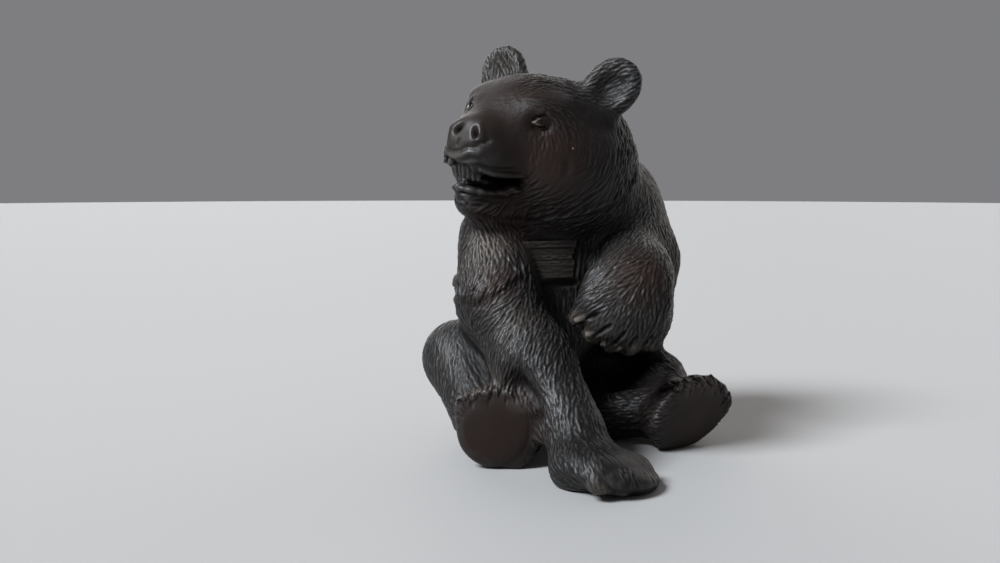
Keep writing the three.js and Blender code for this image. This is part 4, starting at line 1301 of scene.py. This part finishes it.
@dataclass(frozen=True)
class Patina:
    """The dark cold-cast finish: painted shade near black in the cuts and hollows (partly patina in the
    hollows), a painted highlight paler on raised strands, warm brown patches and pale claws.
    """

    # The darkest ramp colour is painted shade for cuts and hollows, partly patina in the hollows; the palest
    # is a painted highlight on raised strands, partly worn by handling.
    cut_shade_and_patina: tuple[float, float, float] = (0.0018, 0.0016, 0.0016)
    body: tuple[float, float, float] = (0.0078, 0.0069, 0.0065)
    strand_sheen_and_rub: tuple[float, float, float] = (0.050, 0.048, 0.047)
    warm: tuple[float, float, float] = (0.0195, 0.0078, 0.005)
    # Pale colour of the claws, also mixed in as a painted highlight on strands under the pale spots.
    claw_and_highlight: tuple[float, float, float] = (0.13, 0.105, 0.085)
    speck: tuple[float, float, float] = (0.25, 0.23, 0.21)
    rough_body: float = 0.38
    rough_deep: float = 0.60
    rough_gloss: float = 0.16
    rough_range: tuple[float, float] = (0.1, 0.75)
    rough_swing: float = 0.16
    specular: float = 0.23
    cloud_scale: float = 55.0
    mottle_scale: float = 420.0
    grain_scale: float = 2600.0
    base_level: float = 0.40
    relief_gain: float = 0.34
    hollow_gain: float = 0.42
    cloud_gain: float = 0.5
    mottle_gain: float = 0.35
    stops: tuple[float, float, float] = (0.12, 0.46, 0.92)
    warm_bias: float = 0.25
    pale_relief_bias: float = 0.8
    speck_scale: float = 260.0
    speck_size: float = 0.075
    speck_rarity: float = 0.9
    speck_strength: float = 0.55
    grain_strength: float = 0.35
    grain_depth: float = 0.00012
    grain_mottle: float = 1.2

    def build(self) -> bpy.types.Material:
        """Builds the finish.

        Returns:
            The material.
        """
        material = bpy.data.materials.new("dark_patina")
        material.use_nodes = True
        tree = material.node_tree
        nodes, links = tree.nodes, tree.links
        shader = nodes["Principled BSDF"]
        shader.inputs["Metallic"].default_value = 0.0
        shader.inputs["Specular IOR Level"].default_value = self.specular

        def math_node(operation: str, a: object, b: object, clamp: bool = False) -> bpy.types.NodeSocket:
            """Adds a sum of two values, each a socket or a number."""
            node = nodes.new("ShaderNodeMath")
            node.operation = operation
            node.use_clamp = clamp
            for socket, value in zip(node.inputs, (a, b)):
                if isinstance(value, bpy.types.NodeSocket):
                    links.new(value, socket)
                else:
                    socket.default_value = value
            return node.outputs[0]

        def mix(share: bpy.types.NodeSocket, a: object, b: object) -> bpy.types.NodeSocket:
            """Adds a mix of two colours, each a socket or a colour."""
            node = nodes.new("ShaderNodeMix")
            node.data_type = "RGBA"
            links.new(share, node.inputs[0])
            for socket, value in ((node.inputs[6], a), (node.inputs[7], b)):
                if isinstance(value, bpy.types.NodeSocket):
                    links.new(value, socket)
                else:
                    socket.default_value = (*value, 1.0)
            return node.outputs[2]

        def attribute(name: str) -> bpy.types.NodeSocket:
            """Reads one of the piece's own attributes."""
            node = nodes.new("ShaderNodeAttribute")
            node.attribute_name = name
            return node.outputs["Fac"]

        coords = nodes.new("ShaderNodeTexCoord").outputs["Object"]

        def noise(scale: float, detail: float) -> bpy.types.NodeSocket:
            """Adds cloudy noise over the piece."""
            node = nodes.new("ShaderNodeTexNoise")
            node.inputs["Scale"].default_value = scale
            node.inputs["Detail"].default_value = detail
            links.new(coords, node.inputs["Vector"])
            return node.outputs["Fac"]

        relief, hollow_shade_and_patina = attribute("relief"), attribute("hollow_shade_and_patina")
        warmth, pallor, gloss = attribute("warmth"), attribute("pallor"), attribute("gloss")
        cloud, grain = noise(self.cloud_scale, 3.0), noise(self.grain_scale, 3.0)
        mottle = noise(self.mottle_scale, 4.0)
        mottle_swing = math_node("SUBTRACT", mottle, 0.5)

        # Painted shade and highlight: the level drops in cuts and hollows and rises on raised strands, so the
        # ramp darkens the one and lightens the other.
        level = math_node("ADD", math_node("MULTIPLY", relief, self.relief_gain), self.base_level)
        level = math_node("SUBTRACT", level, math_node("MULTIPLY", hollow_shade_and_patina, self.hollow_gain))
        cloud_swing = math_node("SUBTRACT", cloud, 0.5)
        level = math_node("ADD", level, math_node("MULTIPLY", cloud_swing, self.cloud_gain))
        level = math_node("ADD", level, math_node("MULTIPLY", mottle_swing, self.mottle_gain), True)
        ramp = nodes.new("ShaderNodeValToRGB")
        links.new(level, ramp.inputs["Fac"])
        stops = ramp.color_ramp.elements
        stops[0].position, stops[0].color = self.stops[0], (*self.cut_shade_and_patina, 1.0)
        stops[1].position, stops[1].color = self.stops[2], (*self.strand_sheen_and_rub, 1.0)
        middle = stops.new(self.stops[1])
        middle.color = (*self.body, 1.0)
        share = math_node("MULTIPLY", warmth, math_node("ADD", cloud, self.warm_bias), True)
        colour = mix(share, ramp.outputs["Color"], self.warm)
        # Painted highlight: under the pale spots, raised strands are mixed towards the pale colour; at the
        # claws this is their own colour.
        share = math_node("MULTIPLY", pallor, math_node("ADD", relief, self.pale_relief_bias), True)
        colour = mix(share, colour, self.claw_and_highlight)
        speckle = nodes.new("ShaderNodeTexVoronoi")
        speckle.inputs["Scale"].default_value = self.speck_scale
        links.new(coords, speckle.inputs["Vector"])
        dot = math_node("LESS_THAN", speckle.outputs["Distance"], self.speck_size)
        chosen = nodes.new("ShaderNodeSeparateColor")
        links.new(speckle.outputs["Color"], chosen.inputs["Color"])
        dot = math_node("MULTIPLY", dot, math_node("GREATER_THAN", chosen.outputs["Red"], self.speck_rarity))
        colour = mix(math_node("MULTIPLY", dot, self.speck_strength), colour, self.speck)
        links.new(colour, shader.inputs["Base Color"])

        rough = nodes.new("ShaderNodeMapRange")
        links.new(level, rough.inputs["Value"])
        rough.inputs["From Min"].default_value = self.rough_range[0]
        rough.inputs["From Max"].default_value = self.rough_range[1]
        rough.inputs["To Min"].default_value = self.rough_deep
        rough.inputs["To Max"].default_value = self.rough_body
        swing = math_node("MULTIPLY", mottle_swing, self.rough_swing)
        varied = math_node("ADD", rough.outputs["Result"], swing)
        drop = math_node("MULTIPLY", gloss, math_node("SUBTRACT", varied, self.rough_gloss))
        links.new(math_node("SUBTRACT", varied, drop), shader.inputs["Roughness"])

        bump = nodes.new("ShaderNodeBump")
        bump.inputs["Strength"].default_value = self.grain_strength
        bump.inputs["Distance"].default_value = self.grain_depth
        height = math_node("ADD", grain, math_node("MULTIPLY", mottle, self.grain_mottle))
        links.new(height, bump.inputs["Height"])
        links.new(bump.outputs["Normal"], shader.inputs["Normal"])
        return material


# The casting


@dataclass(frozen=True)
class Tint:
    """A place that is tinted warm brown, painted pale as a highlight or as a claw's own colour, or where
    painted shade and highlight are held back.
    """

    centre: Place
    radius: float
    amount: float


WARM_SPOTS = (
    Tint((6.0, -22.0, 50.0), 9.0, 0.9),
    Tint((14.0, -18.0, 42.0), 10.0, 0.55),
    Tint((-29.0, -4.0, 46.5), 6.5, 0.95),
    Tint(head_place(24.0, 4.0, 8.0), 14.0, 0.85),
    Tint(head_place(17.0, 16.0, -4.0), 13.0, 1.0),
    Tint(head_place(18.0, 8.0, -20.0), 9.0, 0.9),
    Tint(tuple(RIGHT_SOLE.at(0.0, 0.0, 0.0)), 12.0, 0.95),
    Tint(tuple(LEFT_SOLE.at(0.0, 0.0, 0.0)), 13.0, 0.95),
    Tint((30.0, 2.0, 50.0), 9.0, 0.6),
)


# Painted highlights: pale patches on the upper arm, forearm, thigh, held paw, planted paw's front, ears,
# nose, lips, chest panel and toe curls stand in for light falling there, and the dot by the near eye is a
# painted glint; the small spots on the held paw's claws give the claws' own pale colour.
HIGHLIGHT_AND_CLAW_SPOTS = (
    Tint((-9.4, -16.4, 37.8), 1.9, 0.6),
    Tint((-7.0, -17.6, 34.2), 2.0, 0.6),
    Tint((-9.2, 1.0, 52.0), 7.0, 0.28),
    Tint((-29.0, 3.0, 56.5), 7.0, 0.46),
    Tint((-25.5, -13.0, 37.0), 7.0, 0.16),
    Tint((-37.0, 7.0, 24.0), 6.0, 0.08),
    Tint((0.0, -21.0, 50.0), 6.0, 0.12),
    Tint((-14.0, 30.5, 108.0), 7.0, 0.26),
    Tint((1.5, -1.5, 103.0), 5.0, 0.12),
    Tint(head_place(34.0, -1.5, -8.0), 4.0, 0.2),
    Tint(head_place(33.2, -1.0, -2.0), 4.6, 0.16),
    Tint(head_place(21.7, 12.5, 4.8), 0.9, 0.7),
    Tint(tuple(RIGHT_SOLE.at(8.5, -7.0, 0.8)), 4.0, 0.14),
    Tint(tuple(RIGHT_SOLE.at(11.0, 0.0, 0.8)), 4.0, 0.14),
    Tint(tuple(RIGHT_SOLE.at(8.5, 7.0, 0.8)), 4.0, 0.14),
    Tint(tuple(LEFT_SOLE.at(8.5, -8.0, 0.8)), 4.0, 0.3),
    Tint(tuple(LEFT_SOLE.at(11.0, -1.0, 0.8)), 4.0, 0.3),
    Tint((-3.9, -19.8, 31.8), 1.3, 0.6),
    Tint((-0.3, -21.4, 30.4), 1.3, 0.55),
    Tint((3.5, -23.2, 30.9), 1.3, 0.5),
    Tint((8.2, -23.6, 30.9), 1.3, 0.5),
    Tint((-19.0, -53.6, 2.0), 3.0, 0.3),
)


# Places where the painted shade in cuts and the painted highlight on raised parts are held back: nose, eyes
# and lips.
PAINTED_LIGHT_HUSH_SPOTS = (
    Tint(head_place(33.5, -1.6, -1.0), 4.0, 1.0),
    Tint(head_place(33.0, 3.4, -1.2), 4.0, 1.0),
    Tint(head_place(20.6, 14.1, 5.2), 2.4, 0.9),
    Tint(head_place(24.6, -9.4, 5.0), 2.4, 0.9),
    Tint(head_place(26.0, 11.0, -9.8), 4.5, 0.9),
    Tint(head_place(24.0, 6.0, -15.5), 4.5, 0.7),
)


class Band(Enum):
    """The level bands that the casting is kept in, from the base up."""

    SEAT = "bear_seat"
    LAP = "bear_lap"
    WAIST = "bear_waist"
    SHOULDERS = "bear_shoulders"
    HEAD = "bear_head"


@dataclass
class Shell:
    """The finished surface and what the finish reads on it, as it is parted into level bands."""

    points: np.ndarray
    triangles: np.ndarray
    normals: np.ndarray
    finish_maps: np.ndarray
    clear: float = 0.03

    def slice_at(self, height: float) -> None:
        """Splits the triangles that a level plane passes through, so that none crosses it."""
        z = self.points[:, 2]
        close = np.abs(z - height) < self.clear
        z[close] = height + np.where(z[close] > height, self.clear, -self.clear)
        above = (z > height)[self.triangles]
        count = above.sum(1)
        cut = (count == 1) | (count == 2)
        across = self.triangles[cut].astype(np.int64)
        lone = np.where(count[cut] == 1, above[cut].argmax(1), (~above[cut]).argmax(1))
        rows = np.arange(len(across))
        a, b, c = (across[rows, (lone + k) % 3] for k in range(3))
        base = len(self.points)
        keys = [np.minimum(a, other) * base + np.maximum(a, other) for other in (b, c)]
        edges, where = np.unique(np.concatenate(keys), return_inverse=True)
        first, second = edges // base, edges % base
        share = ((height - z[first]) / (z[second] - z[first]))[:, None]
        added = []
        for values in (self.points, self.normals, self.finish_maps):
            added.append(np.concatenate([values, values[first] + share * (values[second] - values[first])]))
        self.points, self.normals, self.finish_maps = added
        self.points[base:, 2] = height
        self.normals = unit(self.normals)
        ab, ac = base + where[: len(a)], base + where[len(a) :]
        parts = [(a, ab, ac), (ab, b, c), (ab, c, ac)]
        self.triangles = np.concatenate([self.triangles[~cut], *[np.stack(part, 1) for part in parts]])

    def rims(self, triangles: np.ndarray) -> list[list[int]]:
        """Returns the open rims of some triangles, each followed the way that their sides run."""
        pairs = ([0, 1], [1, 2], [2, 0])
        sides = np.concatenate([triangles[:, pair] for pair in pairs]).astype(np.int64)
        there = sides[:, 0] * len(self.points) + sides[:, 1]
        back = sides[:, 1] * len(self.points) + sides[:, 0]
        follow = dict(sides[~np.isin(there, back)].tolist())
        loops = []
        while follow:
            first = next(iter(follow))
            loop, here = [first], follow.pop(first)
            while here != first:
                loop.append(here)
                here = follow.pop(here)
            loops.append(loop)
        return loops

    def caps(self, triangles: np.ndarray) -> np.ndarray:
        """Fills a band's open rims.

        Args:
            triangles: The band's triangles.

        Returns:
            The triangles of its level caps, facing out.
        """
        middle = self.points[triangles[:, 0], 2].mean()
        levels: dict[float, list[list[int]]] = {}
        for loop in self.rims(triangles):
            levels.setdefault(float(self.points[loop[0], 2]), []).append(loop)
        faces = [np.empty((0, 3), np.int64)]
        for height, loops in levels.items():
            flat = [[Vector((x, y, 0.0)) for x, y in self.points[loop, :2]] for loop in loops]
            order = np.concatenate([np.array(loop) for loop in loops])
            found = order[np.array(tessellate_polygon(flat))]
            a, b, c = (self.points[found[:, k], :2] for k in range(3))
            turn = (b - a)[:, 0] * (c - a)[:, 1] - (b - a)[:, 1] * (c - a)[:, 0]
            if (turn.sum() > 0) != (height > middle):
                found = found[:, ::-1]
            ahead = np.concatenate([np.array(loop) * len(self.points) + np.roll(loop, -1) for loop in loops])
            wrong = np.isin(found * len(self.points) + np.roll(found, -1, axis=1), ahead).any(1)
            found[wrong] = found[wrong][:, ::-1]
            faces.append(found)
        return np.concatenate(faces)


@dataclass
class Casting:
    """The whole figure, from the rough form to the finished skin."""

    name: str = "bear_form"
    rough_pitch: float = 0.5
    rough_rounds: int = 26
    fine_pitch: float = 0.33
    fine_rounds: int = 2
    weld: float = 0.002
    inset: float = 0.002
    sole_middle: Place = (0.4, -0.2, -0.7)
    fine_spread: int = 6
    broad_spread: int = 50
    relief_height: float = 0.07
    hollow_depth: float = 0.035
    eye_rim: float = 0.42
    eye_fade: float = 0.2
    nose: Place = (32.0, 0.0, -1.8)
    nose_radius: float = 7.4
    nose_fade: float = 1.5
    nose_gloss: float = 0.15
    face: Face = field(default_factory=Face)
    panel: ChestPanel = field(default_factory=ChestPanel)
    folds: Folds = field(default_factory=Folds)
    coat: Coat = field(default_factory=Coat)
    toes: tuple[Toes, ...] = (
        Toes(RIGHT_PAW, 23.0, 27.0, 11.0, 0.3),
        Toes(LEFT_PAW, 26.0, 26.5, 13.5, 0.5),
        Toes(RIGHT_SOLE, 23.5, 23.0, 9.0, 0.55, hind=True, pad=(7.8, 7.6)),
        Toes(LEFT_SOLE, 23.5, 26.0, 9.0, 0.55, hind=True, spread=0.6),
    )

    def rough_form(self) -> bpy.types.Object:
        """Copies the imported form, merges it and works its facets smooth.

        Returns:
            The new object, in millimetres.
        """
        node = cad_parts["bear"]
        mesh = node.data.copy()
        mesh.name = self.name
        mesh.materials.clear()
        mesh.transform(Matrix.Scale(1 / MM, 4))
        body = bpy.data.objects.new(self.name, mesh)
        bpy.context.scene.collection.objects.link(body)
        only(body)
        bpy.ops.object.mode_set(mode="EDIT")
        bpy.ops.mesh.select_all(action="SELECT")
        bpy.ops.mesh.remove_doubles(threshold=self.weld)
        bpy.ops.object.mode_set(mode="OBJECT")
        finish_with(body, "REMESH", mode="VOXEL", voxel_size=self.rough_pitch)
        skin = Skin.of(body)
        skin.relax(self.rough_rounds)
        self.folds.press(skin)
        self.face.press(skin)
        skin.put_back(body)
        return body

    def add_features(self, body: bpy.types.Object) -> None:
        """Presses the lumps on and fuses them with the form."""
        lumps = Lumps()
        form = Skin.of(body).tree()
        self.face.add_lumps(lumps)
        self.panel.add_lumps(lumps)
        self.folds.add_lumps(lumps)
        for toes in self.toes:
            toes.add_lumps(lumps, form)
        lumps.press_onto(body)
        finish_with(body, "REMESH", mode="VOXEL", voxel_size=self.fine_pitch)

    def carve(self, body: bpy.types.Object) -> Skin:
        """Cuts the features' lines and the coat into the fused form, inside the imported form's box.

        Args:
            body: The fused form.

        Returns:
            The finished surface.
        """
        skin = Skin.of(body)
        skin.relax(self.fine_rounds)
        skin.ease(RIGHT_SOLE.at(*self.sole_middle), 8.4, 40)
        self.face.carve(skin)
        self.folds.carve(skin, self.coat)
        for toes in self.toes:
            toes.carve(skin)
        skin.settle()
        self.panel.carve(skin)
        cuts = self.coat.carve(skin)
        skin.settle()
        low, high = (np.array(corner) / MM for corner in CAST_BOX)
        skin.points = np.clip(skin.points, low + self.inset, high - self.inset)
        skin.normals = skin.find_normals()
        log.info("%s: %d points, %d cuts in the coat", self.name, len(skin.points), cuts)
        return skin

    def read_finish_maps(self, skin: Skin) -> dict[str, np.ndarray]:
        """Works out what the finish reads at each point: relief and hollows, which carry painted shade and
        highlight, warmth, painted highlight with the claws' pale colour, and gloss.
        """
        fine = skin.spread(skin.points, self.fine_spread)
        rise = ((skin.points - fine) * skin.normals).sum(1)
        relief = np.clip(rise / self.relief_height, -1, 1)
        # Broad hollows, which the finish darkens: painted shade where shade falls, partly patina gathered
        # there.
        hollow_shade_and_patina = np.clip(-skin.spread(rise, self.broad_spread, 1.0) / self.hollow_depth, 0, 1)
        found = {"relief": relief, "hollow_shade_and_patina": hollow_shade_and_patina}
        for name, spots in (("warmth", WARM_SPOTS), ("pallor", HIGHLIGHT_AND_CLAW_SPOTS), ("dullness", PAINTED_LIGHT_HUSH_SPOTS)):
            total = np.zeros(len(skin.points))
            for spot in spots:
                distance = np.linalg.norm(skin.points - np.array(spot.centre), axis=1)
                total = np.maximum(total, spot.amount * np.exp(-((distance / spot.radius) ** 2)))
            found[name] = total
        # The painted shade and highlight that relief gives are held back at these places.
        found["relief"] = relief * (1 - found.pop("dullness"))
        gloss = np.zeros(len(skin.points))
        for eye in self.face.eyes:
            distance = np.linalg.norm(skin.points - eye.seat().at(-eye.sunk, 0.0, 0.0), axis=1)
            gloss = np.maximum(gloss, np.clip((eye.ball + self.eye_rim - distance) / self.eye_fade, 0, 1))
        distance = np.linalg.norm(skin.points - HEAD.at(*self.nose), axis=1)
        shine = self.nose_gloss * np.clip((self.nose_radius - distance) / self.nose_fade, 0, 1)
        found["gloss"] = np.maximum(gloss, shine)
        return found

    def part(
        self, skin: Skin, finish_maps: dict[str, np.ndarray], finish: bpy.types.Material
    ) -> list[bpy.types.Object]:
        """Parts the surface into the bands that are kept, closes each and dresses it.

        Args:
            skin: The finished surface.
            finish_maps: What the finish reads at each point.
            finish: The finish.

        Returns:
            The finished pieces, in metres at the origin.
        """
        shell = Shell(skin.points.copy(), skin.triangles, skin.normals, np.stack(list(finish_maps.values()), 1))
        heights = skin.points[skin.triangles, 2].mean(1)
        planes = np.quantile(heights, np.linspace(0, 1, len(Band) + 1)[1:-1])
        for plane in planes:
            shell.slice_at(float(plane))
        owner = np.searchsorted(planes, shell.points[shell.triangles, 2].mean(1))
        pieces = []
        for k, band in enumerate(Band):
            outer = shell.triangles[owner == k]
            used, corners = np.unique(np.concatenate([outer, shell.caps(outer)]), return_inverse=True)
            count = corners.size // 3
            mesh = bpy.data.meshes.new(band.value)
            mesh.vertices.add(len(used))
            mesh.vertices.foreach_set("co", (shell.points[used] * MM).astype(np.float32).ravel())
            mesh.loops.add(3 * count)
            mesh.loops.foreach_set("vertex_index", corners.ravel().astype(np.int32))
            mesh.polygons.add(count)
            mesh.polygons.foreach_set("loop_start", np.arange(0, 3 * count, 3, dtype=np.int32))
            mesh.polygons.foreach_set("use_smooth", np.ones(count, bool))
            mesh.update(calc_edges=True)
            mesh.normals_split_custom_set_from_vertices(shell.normals[used].tolist())
            for column, name in enumerate(finish_maps):
                layer = mesh.attributes.new(name, "FLOAT", "POINT")
                layer.data.foreach_set("value", shell.finish_maps[used, column].astype(np.float32))
            mesh.materials.append(finish)
            piece = bpy.data.objects.new(band.value, mesh)
            bpy.context.scene.collection.objects.link(piece)
            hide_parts("bear")
            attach(piece, "root")
            pieces.append(piece)
        return pieces

    def make(self) -> list[bpy.types.Object]:
        """Makes the figure.

        Returns:
            The finished pieces.
        """
        body = self.rough_form()
        self.add_features(body)
        skin = self.carve(body)
        bpy.data.objects.remove(body)
        return self.part(skin, self.read_finish_maps(skin), Patina().build())


# Studio


@dataclass(frozen=True)
class Lamp:
    """A broad, distant light, with the direction it shines from and the angle its face fills in degrees."""

    name: str
    place: Place
    spread: float
    power: float
    colour: Place

    def hang(self) -> None:
        """Hangs the light, its power in watts a square metre."""
        lamp = bpy.data.lights.new(self.name, "SUN")
        lamp.angle, lamp.energy, lamp.color = math.radians(self.spread), self.power, self.colour
        obj = bpy.data.objects.new(self.name, lamp)
        obj.location = self.place
        obj.rotation_euler = (-Vector(self.place)).to_track_quat("-Z", "Y").to_euler()
        bpy.context.scene.collection.objects.link(obj)


LAMPS = (
    Lamp("window_light", (-0.70, -0.12, 0.70), 22.0, 6.0, (0.88, 0.94, 1.0)),
    Lamp("side_fill", (0.82, 0.50, 0.36), 50.0, 0.6, (1.0, 0.95, 0.90)),
    Lamp("back_fill", (0.05, 0.95, 0.42), 50.0, 1.0, (1.0, 0.97, 0.94)),
)


@dataclass
class Studio:
    """A pale floor, soft light and the camera."""

    lamps: tuple[Lamp, ...] = LAMPS
    floor_size: float = 6.0
    floor_sides: int = 96
    floor_roughness: float = 0.7
    floor_tone: tuple[float, float, float] = (0.34, 0.332, 0.325)
    air: tuple[float, float, float] = (0.95, 0.95, 1.0)
    air_strength: float = 0.22
    camera_place: Place = (-0.1269, -0.2796, 0.076)
    camera_turn: float = -20.0
    camera_dip: float = 5.53
    lens: float = 39.6
    sensor: float = 36.0
    nearest: float = 0.01

    def lay_floor(self) -> bpy.types.Object:
        """Lays the floor.

        Returns:
            The floor.
        """
        bpy.ops.object.select_all(action="DESELECT")
        radius = self.floor_size / 2
        bpy.ops.mesh.primitive_circle_add(vertices=self.floor_sides, radius=radius, fill_type="NGON")
        floor = bpy.context.object
        floor.name = "pale_floor"
        material = bpy.data.materials.new("floor_paint")
        material.use_nodes = True
        shader = material.node_tree.nodes["Principled BSDF"]
        shader.inputs["Base Color"].default_value = (*self.floor_tone, 1.0)
        shader.inputs["Roughness"].default_value = self.floor_roughness
        floor.data.materials.append(material)
        return floor

    def set_up(self) -> None:
        """Hangs the lights, fills the air with light and sets the camera."""
        for lamp in self.lamps:
            lamp.hang()
        bpy.context.scene.view_settings.view_transform = "Standard"
        world = bpy.data.worlds.new("studio_air")
        world.use_nodes = True
        background = world.node_tree.nodes["Background"]
        background.inputs["Color"].default_value = (*self.air, 1.0)
        background.inputs["Strength"].default_value = self.air_strength
        bpy.context.scene.world = world
        camera = bpy.data.cameras.new("camera")
        camera.lens, camera.sensor_width, camera.clip_start = self.lens, self.sensor, self.nearest
        obj = bpy.data.objects.new("camera", camera)
        obj.location = self.camera_place
        obj.rotation_euler = (math.radians(90 - self.camera_dip), 0.0, math.radians(self.camera_turn))
        bpy.context.scene.collection.objects.link(obj)
        bpy.context.scene.camera = obj


def main() -> None:
    """Builds the studio and the figure, and logs the floor's name and each piece's triangle count."""
    logging.basicConfig(level=logging.INFO, format="%(name)s %(message)s")
    studio = Studio()
    log.info("stage: %s", studio.lay_floor().name)
    studio.set_up()
    for piece in Casting().make():
        log.info("piece: %s, %d triangles", piece.name, len(piece.data.polygons))


if __name__ == "__main__":
    main()
